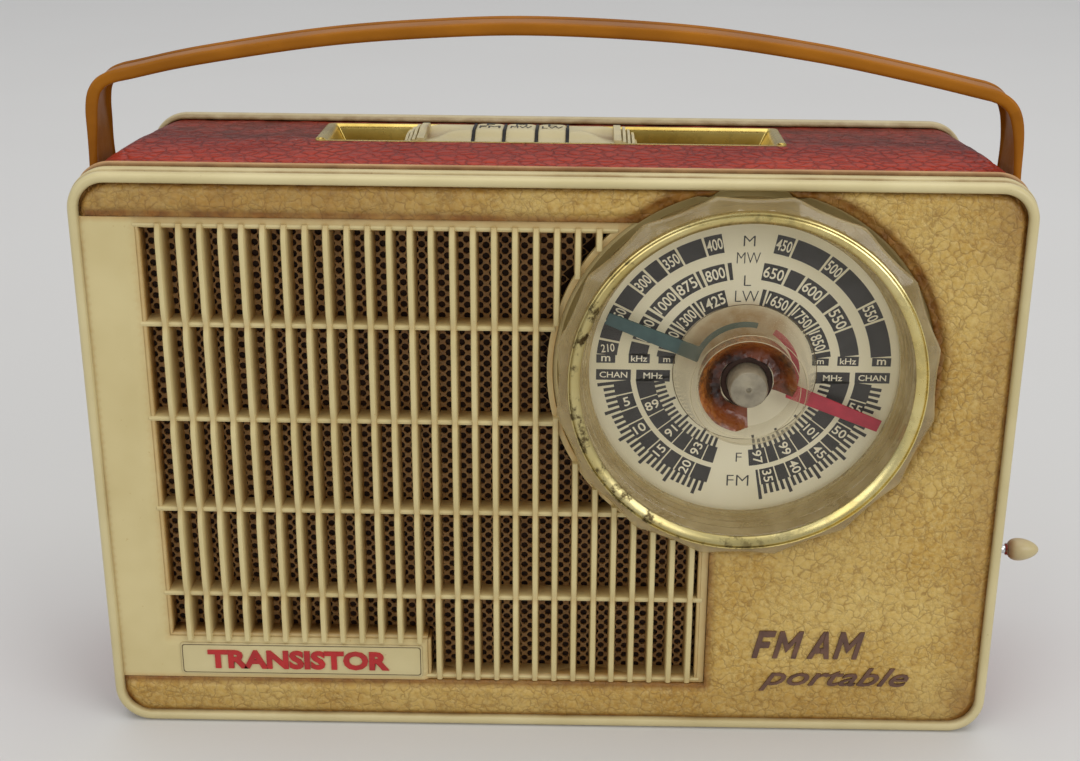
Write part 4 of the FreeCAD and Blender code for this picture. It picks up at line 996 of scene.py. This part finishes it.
def make_plate():
    """The disc under the print, with painted shadow towards the hub and next to the rim, on its upper side."""
    sides = 128
    profile = [(3.8, SCALE_D + 1.2), (3.8, SCALE_D), *[(r, SCALE_D) for r in spread([8.0, 26.0, 49.8], 1.5)],
               (50.4, SCALE_D + 0.3), (50.4, SCALE_D + 1.2)]
    # painted shadow towards the hub and next to the rim, strongest at the top
    upward = [0.08 + 0.92 * step(0.1, 0.85, math.cos(2 * math.pi * k / sides - math.radians(105)))
              for k in range(sides)]
    dirt_and_shade = [[(step(23.5, 16.0, r) + 0.3 * step(45.5, 47.5, r)) * u for u in upward] for r, _ in profile]
    Shape().grid(lathe(profile, sides), ring=True, loop=True, grime_and_shade=dirt_and_shade).piece(
        "scale_plate", "case", [SCALE_SHADOWED], ["dial_scale"], "scale_print")


def make_scale():
    make_plate()
    ink, jobs = Shape(), []

    def number(text, r, a, turn, height, widest):
        p = printed(r, a, 0)
        jobs.append((text, height, widest, 0.012, 0.0, 0.04, on_face(p.x, INK_D, p.z, turn)))

    for (r0, r1), cells in UPPER.items():
        for a, b, text in cells:
            sector(ink, r0, r1, a - 0.25, b + 0.25)
            if text:
                mid, r = (a + b) / 2, (r0 + r1) / 2
                turn, height = (6, 2.6) if text == "210" else (mid - 90, 3.5)
                number(text, r, mid, turn, height, math.radians(a - b) * r * 0.86)
    # numbers, their cells' radii, the strokes' radii, half a number's angle and the strokes' pitch
    lower = ((CHANNELS, 34.2, 39.4, 39.4, 44.3, 3.6, 2.55), (MEGACYCLES, 27.2, 32.6, 22.4, 27.2, 5.2, 3.7))
    for numbers, r0, r1, t0, t1, half_number, pitch in lower:
        for low, high in ((187.5, 256.0), (279.0, 352.5)):
            for a, b, text in bands([(t, a) for t, a in numbers.items() if low < a < high],
                                    low, high, half_number):
                sector(ink, r0, r1, a, b)
                if text:
                    mid = (a + b) / 2
                    number(text, (r0 + r1) / 2, mid, mid - (180 if mid < 270 else 360), 2.9, 4.4)
            count = round((high - low) / pitch)
            for k in range(count):
                a = low + (high - low) * k / count
                short = 1.6 if k % 5 else 0.0
                ends = (t0, t1 - short) if t1 > r1 else (t0 + short, t1)
                sector(ink, *ends, a, a + (high - low) / count * 0.55)
    for near, far, z0, z1, text in UNIT_BOXES:
        for x0, x1 in ((-far, -near), (near, far)):
            ink.block((DIAL_X + x0, INK_D, DIAL_Z + z0), (DIAL_X + x1, SCALE_D, DIAL_Z + z1))
            jobs.append((text, min(1.9, z1 - z0 - 1.0), (x1 - x0) * 0.8, 0.012, 0.0, 0.04,
                         on_face(DIAL_X + (x0 + x1) / 2, INK_D, DIAL_Z + (z0 + z1) / 2)))
    ink.piece("scale_segments", "case", [SCALE_INK], (), "brown_print")
    write(Shape(), jobs).piece("scale_digits", "case", [SCALE], (), "scale_print")
    jobs = [(text, height, 7.0, -0.012, 0.0, 0.04, on_face(DIAL_X, SCALE_D, DIAL_Z + z))
            for text, height, z in MARKS]
    write(Shape(), jobs).piece("scale_marks", "case", [SCALE_INK], (), "brown_print")


# ---------------------------------------------------------------- knob
FACETS, RIM_SIDES = 16, 192
LENS_D, HUB_FLOOR = 3.4, -3.1


def faceted(r, a):
    """Radius of the sixteen-sided rim at angle a, its sides a little hollow and its points blunt."""
    if r < 53.9:
        return r
    turn = 2 * math.pi / FACETS
    off = (a + turn / 2) % turn - turn / 2
    flat = r * math.cos(turn / 2) / math.cos(off) - 0.7 * math.cos(math.pi * off / turn)
    return min(flat, r * 0.997)


def turned(name, profile, sides, material, replaces, slot, loop=True, grime_and_shade=0.0, facet=None, sharp=SHARP):
    """A piece of the knob turned about its axis."""
    Shape().grid(lathe(profile, sides, facet), ring=True, loop=loop, grime_and_shade=grime_and_shade).piece(
        name, "tuning_knob", [material], replaces, slot, sharp=sharp)


def make_window_and_hub():
    """The clear front, the tapering clear wall of the hub, and lines on its edges: pale painted highlights on
    the hub's front edges and a dark line where the wall meets the window.
    """
    face = [(0.0, 5.8), (10, 5.8), (46.2, 5.8), (46.5, 5.4), (46.5, LENS_D), (46.2, LENS_D), (20.6, LENS_D)]
    turned("knob_window", face, 144, LENS, ["knob_body"], "clear", loop=False)
    wall = [(21.4, LENS_D - 0.05), (21.2, 2.4), (17.9, -9.6), (17.6, -10.5), (17.2, -10.9), (16.6, HUB_D),
            (15.5, HUB_D), (15.0, -10.85), (14.75, -10.4), (14.6, -9.6), (14.5, -3.0)]
    turned("knob_hub", wall, 144, HUB_CLEAR, (), "clear", loop=False)
    # pale painted highlights on the hub's front edges, and a dark line where the wall meets the window
    lines = Shape()
    for r, d, kind in ((16.95, HUB_D + 0.1, 0), (15.15, HUB_D, 0), (21.5, LENS_D, 1)):
        section = [(r - 0.11, d + 0.04), (r, d - 0.1), (r + 0.11, d + 0.04)]
        lines.grid(lathe(section, 144), ring=True, loop=True, kind=kind)
    lines.piece("hub_lines", "tuning_knob", [EDGE_HIGHLIGHT, LINE], (), "clear")


def make_rim():
    """The faceted clear rim and the gold ring let into it."""
    rim = [(46.5, LENS_D), (46.9, 2.7), (47.35, 2.55), (47.5, 1.5), (47.75, 0.9), (48.15, 0.75),
           (48.3, -1.2), (48.55, -1.9), (48.8, -2.05), (48.9, -4.4), (49.1, -6.3), (49.6, -6.9),
           (53.0, -6.9), (54.6, -6.5), (56.6, -5.6), (57.2, -5.0), (57.2, -3.7), (56.6, -2.6), (54.9, 3.6),
           (54.4, 5.6), (53.4, 6.8), (47.5, 6.8), (46.5, 5.8)]
    turned("knob_rim", rim, RIM_SIDES, RIM_CLEAR, (), "clear", facet=faceted, sharp=math.radians(17))
    gold = [(49.2, -6.85), (49.2, -7.5), (49.9, -8.2), (50.8, -8.75), (51.5, -8.95), (51.85, -8.75),
            (51.95, -8.45), (52.1, -8.42), (52.2, -8.7), (52.4, -8.98), (52.7, -8.8), (RING_R, -8.3),
            (52.75, -6.85)]
    dirt_and_shade = []
    for k in range(RIM_SIDES):
        a = 2 * math.pi * k / RIM_SIDES
        dirt_and_shade.append(min(1.0, 0.2 + 0.75 * step(-0.2, 0.9, math.cos(a - math.radians(212)))
                        + 0.3 * step(0.4, 1.0, math.cos(a - math.radians(118)))))
    turned("gold_ring", gold, RIM_SIDES, RING_GOLD, ["knob_ring"], "gold", grime_and_shade=[dirt_and_shade] * len(gold))


def make_glue_ring():
    """Lumpy glue round most of the hub, thin at both ends and crusted towards the wall, the crust painted
    paler on the upper left as a highlight.
    """
    section = ((8.0, HUB_FLOOR), (7.9, -4.6), (9.0, -4.0), (10.2, -4.1), (11.4, -5.0), (12.6, -6.6),
               (13.8, -8.4), (14.4, -8.9), (14.4, HUB_FLOOR))
    count = 90
    lump, crust_and_highlight = [], []
    for k in range(count + 1):
        degrees = -18 + 292 * k / count
        a = math.radians(degrees)
        c, s = math.cos(a), math.sin(a)
        full = 0.25 + 0.75 * step(0, 7, k) * step(count, count - 6, k)
        row = []
        for r, d in section:
            push = 0.7 * wave(c * 2.2, s * 2.2, r * 0.3) + 0.45 * wave(c * 7, s * 7, r * 0.6)
            rise = (d - HUB_FLOOR - push) * full if d < HUB_FLOOR else 0.0
            lean = 0.8 * wave(c * 2, s * 2, 7) if r < 10 else 0.0
            row.append(on_dial(r + lean, degrees, HUB_FLOOR + rise))
        lump.append(row)
        # painted highlight: the crust is paler towards the upper left
        lit = 0.35 + 0.65 * step(-0.2, 0.7, math.cos(a - math.radians(140)))
        crust_and_highlight.append([step(10.5, 13.5, r) * lit for r, _ in section])
    Shape().grid(lump, ring=True, caps=True, grime_and_shade=crust_and_highlight).piece(
        "hub_residue", "tuning_knob", [GLUE], ["hub_glue"], "glue")


def make_boss_and_collar():
    collar = [(6.15, HUB_FLOOR), (6.2, -4.3), (7.2, -4.5), (7.7, -4.2), (7.75, HUB_FLOOR)]
    turned("hub_collar", collar, 64, DARK, (), "black")
    boss = [(0.0, HUB_D + 0.7), (0.45, HUB_D + 0.6), (0.8, HUB_D - 0.02), (1.15, HUB_D - 0.14),
            (1.6, HUB_D + 0.06), (4.6, HUB_D + 0.04), (5.3, HUB_D + 0.2), (5.75, HUB_D + 0.8),
            (5.9, -5.0), (6.15, -3.05)]
    turned("hub_centre", boss, 64, BOSS, ["hub_boss"], "boss_plastic", loop=False)


def make_pointer(node, material, slot, degrees, root, arc):
    """A bar under the window, with a thin curved root round the hub."""
    back, side, front = LENS_D - 0.05, LENS_D - 0.3, LENS_D - 0.34
    section = [(14.5, back), (14.5, LENS_D - 0.22), (root, LENS_D - 0.22), (root, back)]
    bar = Shape().grid([[on_dial(r, a, d) for r, d in section] for a in range(*arc, 4)], ring=True, caps=True)
    c, s = polar(1.0, degrees)
    rows = []
    for r in spread([14.6, 44.0, 44.6], 3.0):
        half = 2.45 - 0.5 * (r - 14.6) / 30
        ring = [(-half, back), (-half + 0.15, side), (0, front), (half - 0.15, side), (half, back)]
        rows.append([at(DIAL_X + r * c - v * s, d, DIAL_Z + r * s + v * c) for v, d in ring])
    bar.grid(rows, ring=True, caps=True)
    bar.piece(node + "_bar", "tuning_knob", [material], [node], slot)


# ---------------------------------------------------------------- covered case
def section_value(d, index):
    """Half width (1) or height (2) of the case at depth d, the crease slightly rounded."""
    rows = [(s[0], s[index]) for s in SECTIONS]
    return sum(table(d + k, rows) for k in (-1.6, -0.8, 0.0, 0.8, 1.6)) / 5


def make_wrap():
    middle = 74.0  # half the strip of the top that holds the tray
    u_in, u_out = TRAY[2] * math.cos(FALL), TRAY[3] * math.cos(FALL)
    depths = spread([FRAME_D + 0.8, CREASE - 3, CREASE + u_in, CREASE + u_out, WRAP_BACK], 0.95)
    tray_x = spread([middle, TRAY[1], TRAY[0], -middle], 1.15)
    quarter = [polar(1.0, k * 9) for k in range(1, 10)]
    under, beside = [k / 22 for k in range(23)], [k / 130 for k in range(131)]
    above = [k / 48 for k in range(48)]
    rows, tags = [], []
    for d in depths:
        half, top = section_value(d, 1), section_value(d, 2)
        flat, high = half - WRAP_R, top - WRAP_R
        # x, z and outward direction: under, up the right side, over the top and down the left side
        ring = [((2 * t - 1) * flat, 0.0, (0, -1)) for t in under]
        ring += [(flat + WRAP_R * s, WRAP_R - WRAP_R * c, (s, -c)) for c, s in quarter]
        ring += [(half, WRAP_R + (high - WRAP_R) * t, (1, 0)) for t in beside]
        ring += [(flat + WRAP_R * c, high + WRAP_R * s, (c, s)) for c, s in quarter]
        ring += [(flat + (middle - flat) * t, top, (0, 1)) for t in above]
        ring += [(x, top, (0, 1)) for x in tray_x]
        ring += [((flat - middle) * t - flat, top, (0, 1)) for t in above[:0:-1]] + [(-flat, top, (0, 1))]
        ring += [(-flat - WRAP_R * s, high + WRAP_R * c, (-s, c)) for c, s in quarter]
        ring += [(-half, WRAP_R + (high - WRAP_R) * t, (-1, 0)) for t in beside[::-1]]
        ring += [(-flat - WRAP_R * c, WRAP_R - WRAP_R * s, (-c, -s)) for c, s in quarter]
        row, tag = [], []
        edge = max(0.0, min(1.0, (d - FRAME_D) / 3, (WRAP_BACK - d) / 3))
        for x, z, (nx, nz) in ring:
            p = at(x, d, z)
            lift = 0.12 * (pebbles(p, 3.7) - 0.7) + 0.22 * noise.noise(p / 6) if nz > -0.5 else 0.0
            lift *= edge
            if nz > 0.9:
                lift *= step(0, 2.5, out_box(x, d - CREASE, TRAY[0], TRAY[1], u_in, u_out))
            row.append(Vector((p.x + nx * lift, p.y, p.z + nz * lift)))
            # painted shade: the top behind the crease is darker; the covering is also darker next to the frame
            # and towards the bottom
            behind = step(CREASE - 2, CREASE + 8, d) * (0.95 if nz > 0.5 else 0.15)
            tag.append(min(1.0, behind + 0.5 * step(FRAME_D + 4, FRAME_D, d) + 0.4 * step(12, 0, z)))
        rows.append(row)
        tags.append(tag)
    hole_d = {i for i, d in enumerate(depths) if CREASE + u_in - 0.01 <= d < CREASE + u_out - 0.01}
    hole_x = {j for j, p in enumerate(rows[0])
              if p.z > wrap_hi.z - 1 and TRAY[0] + 0.01 < p.x <= TRAY[1] + 0.01 and abs(p.x) < middle - 0.1}
    Shape().grid(rows, ring=True, grime_and_shade=tags, skip=lambda i, j: i in hole_d and j in hole_x).piece(
        "case_covering", "case", [RED, DARK], ["case_wrap"], "red_cloth", wall=2.4, wall_kind=1)


# ---------------------------------------------------------------- tray with keys and sliders
DIVIDERS, DIVIDER_HALF, KEY_GAP = (-25.85, -16.25, -6.1, 3.55), 0.42, 0.12
KEYS = (("key_fm", "FM"), ("key_medium", "MW"), ("key_long", "LW"))
ACROSS = (3.0, 3.5, 14.0, 26.6, 27.2)  # the keys' front edge, crest and back edge


def make_tray():
    x0, x1, u0, u1 = TRAY

    def ring(end, side, w, r):
        """A ring drawn in by end and side, its front edge lowered where it stands proud."""
        half_x, half_u = (x1 - x0) / 2 - end, (u1 - u0) / 2 - side
        outline = [((x0 + x1) / 2 + x, (u0 + u1) / 2 + u - half_u)
                   for x, u in rounded(half_x, 0.0, 2 * half_u, max(0.05, r), 5, 60, 12)]
        return [on_slope(x, u, w - 0.5 * (w > 0.3 and u < u0 + 0.3)) for x, u in outline]

    steps = ((-1.3, -1.2, 0.02, 1.6), (-1.28, -1.18, 0.34, 1.6), (-1.0, -0.95, 0.6, 1.5),
             (-0.4, -0.5, 0.68, 1.3), (1.0, -0.1, 0.66, 1.0), (1.3, 0.1, 0.56, 0.9), (2.3, 0.9, -0.5, 0.7),
             (2.5, 1.0, -0.9, 0.6), (5.0, 1.2, -6.0, 0.4), (5.4, 1.6, -6.28, 0.3), (8.0, 6.0, -6.3, 0.2))
    rows = [ring(*s) for s in steps]
    shape = Shape().grid(rows, ring=True, grime_and_shade=(0.9, 0.6, 0.2, 0.1, 0.1, 0.1, 0.2, 0.3, 0.5, 0.7, 0.4))
    shape.close(len(rows[0]))
    outside = [ring(-1.3, -1.2, 0.02, 1.6), ring(0.1, 0.1, 0.0, 1.0), ring(0.1, 0.1, -7.4, 1.0)]
    shape.grid(outside, ring=True, grime_and_shade=0.5)
    shape.piece("control_tray_gold", "case", [TRAY_GOLD], ["control_tray"], "gold")


def key_height(u, crest=1.9):
    """Top of a key across the tray: a falling front half, a crest and a flat back half."""
    height = table(u, ((2.9, -2.6), (3.3, -1.5), (5.0, -0.95), (9.0, -0.1), (12.0, 0.5), (14.0, 0.78),
                       (16.0, 0.8), (26.4, 0.62), (27.1, 0.1)))
    return height * crest / 0.8 if height > 0 else height


def height_block(shape, xs, us, height, floor, grime_and_shade=None):
    """A solid whose top is height(x, u), standing on w = floor."""
    top = [[on_slope(x, u, height(x, u)) for x in xs] for u in us]
    shape.grid(top, grime_and_shade=[[grime_and_shade(x, u) for x in xs] for u in us] if grime_and_shade else 0.05)
    edge = [(x, us[0]) for x in xs] + [(xs[-1], u) for u in us[1:]]
    edge += [(x, us[-1]) for x in xs[::-1][1:]] + [(xs[0], u) for u in us[::-1][1:-1]]
    skirt = [[on_slope(x, u, height(x, u)) for x, u in edge], [on_slope(x, u, floor) for x, u in edge]]
    shape.grid(skirt, ring=True, grime_and_shade=(0.25, 0.8))
    shape.close(len(edge))


def make_keys():
    us = spread(ACROSS, 0.8)
    for (node, word), left, right in zip(KEYS, DIVIDERS[:-1], DIVIDERS[1:]):
        shape = Shape()
        a, b = left + DIVIDER_HALF + KEY_GAP, right - DIVIDER_HALF - KEY_GAP
        mid = (a + b) / 2

        def top(x, u):
            return key_height(u) - 0.35 * (abs(x - mid) / ((b - a) / 2)) ** 6

        def on_key(centre):
            """A place() for letters lying on the key round a line across it."""
            return lambda u, v, t: on_slope(mid + u, centre + v, key_height(centre + v) + t + 0.02)

        height_block(shape, spread([a, a + 0.4, b - 0.4, b], 0.7), us, top, -3.2)
        shape.block((mid - 1.5, 10.0, -14.0), (mid + 1.5, 20.0, -3.1), place=on_slope)
        write(shape, [(word[0], 4.2, 3.6, 0.0, 0.0, 0.09, on_key(23.9)),
                      (word, 4.4, 6.6, 0.0, 0.0, 0.09, on_key(18.6))], kind=1)
        shape.piece(node + "_cap", node, [CREAM, KEY_INK], [node], "cream", weld=True)
    plates = Shape()
    for x in DIVIDERS:
        height_block(plates, [x - DIVIDER_HALF, x + DIVIDER_HALF], us, lambda x, u: key_height(u) + 0.05, -6.2)
    plates.piece("key_dividers", "case", [BLACK], ["key_separators"], "black", weld=True)


def make_slider(node, inner, outer, stem):
    """A cap with a hollow for the finger and four stepped ridges at its outer end."""
    sign = 1 if outer > inner else -1
    length = abs(outer - inner)
    fins = [(length - a, length - b, w) for a, b, w in
            ((7.6, 5.4, 1.35), (4.8, 3.9, 0.9), (3.3, 2.5, 0.1), (1.9, 1.1, -0.9))]
    falling = [(length - a, w) for a, w in ((5.4, 0.25), (3.9, -0.6), (2.5, -1.5), (1.0, -2.6), (0.0, -3.4))]
    marks = [0.0, 0.5, length - 0.3, length]
    for a, b, _ in fins:
        marks += [a - 0.12, a, b, b + 0.12]

    def hollow(t, u, power):
        """How deep the hollow is at a place, 0..1."""
        share = step(1.5, length - 7.7, t)
        return share * (1 - min(1.0, abs(u - 17.5) / (1.0 + 8.5 * share)) ** power)

    def height(x, u):
        t = abs(x - inner)
        base = key_height(u, 1.6) - 0.1
        for a, b, w in fins:
            if a - 0.01 <= t <= b + 0.01:
                return max(base, 0.0) * 0.5 + w - 0.5 * (abs(u - 15) / 12) ** 4
        return table(t, falling) if t > fins[0][0] else base - 3.0 * hollow(t, u, 2)

    # painted shade: the finger hollow darker with its depth
    def dirt_and_shade(x, u):
        t = abs(x - inner)
        return 0.9 * hollow(t, u, 1) * (t < fins[0][0]) + 0.1

    shape = Shape()
    xs = [inner + sign * t for t in spread(sorted(marks), 1.1)]
    height_block(shape, xs, spread(ACROSS, 1.1), height, -6.1, grime_and_shade=dirt_and_shade)
    shape.block((stem, 14.0, -12.0), (stem + 3.0, 17.0, -6.0), place=on_slope)
    shape.piece(node + "_cap", node, [CREAM], [node], "cream", weld=True)


# ---------------------------------------------------------------- handle and aerial
HANDLE_D, HANDLE_Z, STRAP_T = 38.5, 162.0, 2.0
STRAP = ([(-140.0, z) for z in (150.2, 156.0, 162.0, 171.0, 180.0, 187.0, 193.5)]
         + [(-139.0, 198.8), (-136.4, 202.4), (-132.5, 204.3), (-127.0, 205.6), (-108.0, 209.8),
            (-72.0, 215.6), (-40.0, 218.6), (-5.0, 219.9), (40.0, 217.9), (77.0, 213.1), (106.0, 207.5),
            (127.0, 202.8), (131.5, 201.7), (135.0, 200.0), (137.8, 197.0), (139.4, 192.4)]
         + [(140.0, z) for z in (186.0, 178.0, 170.0, 162.0, 156.0, 150.2)])
# half the strap's section: distance in from its side and height above its underside
EDGE = ((0.0, 0.8), (0.05, 1.5), (0.3, 2.1), (0.7, 2.3), (1.1, 2.15), (1.45, 1.66), (1.8, 1.66), (2.1, 2.2),
        (2.6, 2.2), (2.95, 1.7), (3.4, 1.75))
UNDER = ((2.9, 0.14), (2.2, 0.1), (1.7, -0.12), (0.8, -0.16), (0.2, 0.36))


def make_handle():
    """A ribbed strap, round at its pivots, wide down the legs and thicker over the top."""
    path = smooth_path(STRAP, 9)
    rows, grime_and_shade = [], []
    for i, p in enumerate(path):
        along = (path[min(i + 1, len(path) - 1)] - path[max(i - 1, 0)]).normalized()
        inward = Vector((along.y, -along.x))
        half = table(p.y, ((0, 13.0), (164, 13.0), (192, 8.8), (204, 7.7), (220, 7.5)))
        if p.y < HANDLE_Z:
            half = math.sqrt(max(0.6, half * half - (HANDLE_Z - p.y) ** 2))
        deep = step(178, 196, p.y)
        lift = 0.4 * deep
        side = [(half - min(e, half * 0.9), v + (lift if v > 1 else -0.5 * deep)) for e, v in EDGE]
        low = [(half - min(e, half * 0.9), v - deep * (0.95 if e < 2 else 0)) for e, v in UNDER]
        top = side + [(0.45 * half, 1.98 + lift), (0.0, 2.05 + lift)]
        bottom = [(0.0, 0.12), (0.45 * half, 0.12)] + low
        ring = bottom + top + [(-u, v) for u, v in top[-2::-1]] + [(-u, v) for u, v in bottom[:0:-1]]
        row, tag = [], []
        worn = 0.12 + 0.3 * wave(p.x / 16, p.y / 16, 0) + 0.25 * (abs(p.x) > 138)
        for u, v in ring:
            q = p + inward * (STRAP_T - v)
            row.append(at(q.x, HANDLE_D + u, q.y))
            # painted shade beneath the strap and in its rib grooves; wear elsewhere and at the pivots
            beneath, in_groove = v < 0.3 and abs(p.x) < 130, 1.6 < v - lift < 1.72
            tag.append(min(1.0, max(0.0, worn + 0.3 * beneath + 0.9 * in_groove)))
        rows.append(row)
        grime_and_shade.append(tag)
    Shape().grid(rows, ring=True, caps=True, grime_and_shade=grime_and_shade).piece(
        "carrying_strap", "handle", [HANDLE], ["handle"], "handle_plastic", subdivide=1)


def make_aerial_tip():
    """A chromed ferrule and the acorn on it, turned about the aerial's axis."""
    lo, hi = corners("aerial_tip")
    y, z = (lo.y + hi.y) / 2, (lo.z + hi.z) / 2
    circle = [polar(1.0, 7.5 * k) for k in range(48)]

    def about(profile):
        return [[Vector((lo.x + run, y + r * c, z + r * s)) for c, s in circle] for run, r in profile]

    nut = ((0, 0), (0, 1.5), (0.5, 1.9), (1.4, 1.95), (1.8, 1.5), (2.4, 1.3), (3.4, 1.3), (3.6, 1.9),
           (4.0, 2.1), (4.4, 1.9), (4.4, 0))
    Shape().grid(about(nut), ring=True).piece("aerial_ferrule", "aerial_4", [CHROME], (), "chrome")
    acorn = ((4.4, 0.0), (4.4, 1.8), (4.7, 2.5), (5.3, 3.1), (6.2, 3.55), (7.6, 3.72), (9.2, 3.6),
             (11.0, 3.1), (12.4, 2.45), (13.5, 1.7), (14.2, 0.95), (14.5, 0.0))
    dirt_and_shade = [table(run, ((0, 0.9), (5, 0.6), (7, 0.35), (12, 0.3), (15, 0.6))) for run, _ in acorn]
    Shape().grid(about(acorn), ring=True, grime_and_shade=dirt_and_shade).piece(
        "aerial_acorn", "aerial_4", [CREAM], ["aerial_tip"], "cream", subdivide=1)


make_frame()
make_piping()
make_back_rim()
make_panel()
make_moulding()
make_slats()
make_screen()
make_badge()
make_panel_letters()
make_scale()
make_window_and_hub()
make_rim()
make_glue_ring()
make_boss_and_collar()
make_pointer("pointer_green", TEAL, "green_paint", 158, 16.2, (78, 170))
make_pointer("pointer_red", CRIMSON, "red_paint", -22, 16.4, (-30, 60))
make_wrap()
make_tray()
make_keys()
make_slider("tone_slider", DIVIDERS[0] - DIVIDER_HALF - KEY_GAP, -48.2, -40.0)
make_slider("volume_slider", DIVIDERS[-1] + DIVIDER_HALF + KEY_GAP, 25.7, 14.5)
make_handle()
make_aerial_tip()

# CAD nodes that keep their shape: material, bevel and names
CARRIED = (
    (MOULDING, 0.3, "dial_well"), (BACK, 0.35, "back_cover"), (BOARD, 0.2, "circuit_board"),
    (STEEL, 0.2, "tuning_shaft gang_frame speaker_basket"), (STEEL, 0.3, "speaker_screws transformers"),
    (ALU, 0.05, "gang_stator gang_rotor"), (CHROME, 0.2, "handle_pins"),
    (CHROME, 0.1, "aerial_tube aerial_section_4"),
    (CHROME, 0.08, "aerial_section_1 aerial_section_2 aerial_section_3"),
    (BLACK, 0.3, "cover_bosses switch_bank tone_pot volume_pot aerial_mounts transistors rod_clips"),
    (BLACK, 0.4, "battery_holder"), (BRASS, 0.25, "back_screws"), (BRASS, 0.2, "battery_contacts"),
    (PAPER, 0.0, "speaker_cone"), (MAGNET, 0.5, "speaker_magnet"), (CAN, 0.4, "if_cans"),
    (SLEEVE, 0.4, "capacitors"), (DIPPED, 0.3, "resistors"), (FERRITE, 0.4, "ferrite_rod"),
    (COPPER, 0.1, "ferrite_coils"), (CELL, 0.4, "battery_cells"),
)
for material, width, nodes in CARRIED:
    for node in nodes.split():
        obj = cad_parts[node]
        obj.data.materials.clear()
        obj.data.materials.append(material)
        if width:
            soften(obj, width)


# ---------------------------------------------------------------- floor, light and camera, in metres
def make_floor():
    s = Shade("studio_floor", 0.85)
    s.colour(s.mix(s.noise(260, 2), (0.63, 0.615, 0.595, 1), (0.66, 0.65, 0.63, 1)))
    mesh = bpy.data.meshes.new("floor")
    size = 9.0
    mesh.from_pydata([(-size, -size, 0), (size, -size, 0), (size, size, 0), (-size, size, 0)], [],
                     [(0, 1, 2, 3)])
    mesh.materials.append(s.material)
    floor = bpy.data.objects.new("floor", mesh)
    bpy.context.scene.collection.objects.link(floor)


def make_light(name, place, aim, size, power, tint):
    data = bpy.data.lights.new(name, "AREA")
    data.shape, data.size, data.size_y, data.energy, data.color = "RECTANGLE", size[0], size[1], power, tint
    light = bpy.data.objects.new(name, data)
    light.location = place
    light.rotation_mode = "QUATERNION"
    light.rotation_quaternion = (Vector(aim) - Vector(place)).to_track_quat("-Z", "Y")
    bpy.context.scene.collection.objects.link(light)


def make_camera():
    place = Vector((0.0092, -0.5015, 0.3005))
    yaw, pitch, roll = [math.radians(a) for a in (-0.45, 21.22, 0.62)]
    ahead = Vector((math.sin(yaw) * math.cos(pitch), math.cos(yaw) * math.cos(pitch), -math.sin(pitch)))
    right = Vector((math.cos(yaw), -math.sin(yaw), 0))
    up = right.cross(ahead)
    right, up = right * math.cos(roll) + up * math.sin(roll), up * math.cos(roll) - right * math.sin(roll)
    data = bpy.data.cameras.new("camera")
    data.sensor_width, data.lens = 36.0, 55.5
    data.shift_x, data.shift_y = -0.0277, -0.0023
    data.clip_start, data.clip_end = 0.02, 60.0
    camera = bpy.data.objects.new("camera", data)
    camera.matrix_world = Matrix.Translation(place) @ Matrix((right, up, -ahead)).transposed().to_4x4()
    bpy.context.scene.collection.objects.link(camera)
    bpy.context.scene.camera = camera


make_floor()
make_light("overhead", (0.1, -0.1, 2.1), (0, 0.2, 0), (2.4, 2.0), 24.0, (1.0, 0.985, 0.96))
make_light("front_left", (-1.5, -1.9, 1.3), (0, 0, 0.1), (1.8, 1.4), 13.0, (1.0, 0.99, 0.975))
make_light("front_right", (1.6, -1.5, 1.1), (0.1, 0.05, 0.05), (1.4, 1.2), 17.0, (0.98, 0.985, 1.0))
make_light("backdrop", (0.0, 1.9, 1.6), (0, 1.3, 0), (3.0, 1.4), 7.0, (0.98, 0.99, 1.0))
world = bpy.data.worlds.new("studio")
world.use_nodes = True
sky = world.node_tree.nodes["Background"].inputs
sky["Color"].default_value = (0.92, 0.95, 1.0, 1)
sky["Strength"].default_value = 0.42
bpy.context.scene.world = world
bpy.context.scene.view_settings.view_transform = "Standard"
make_camera()
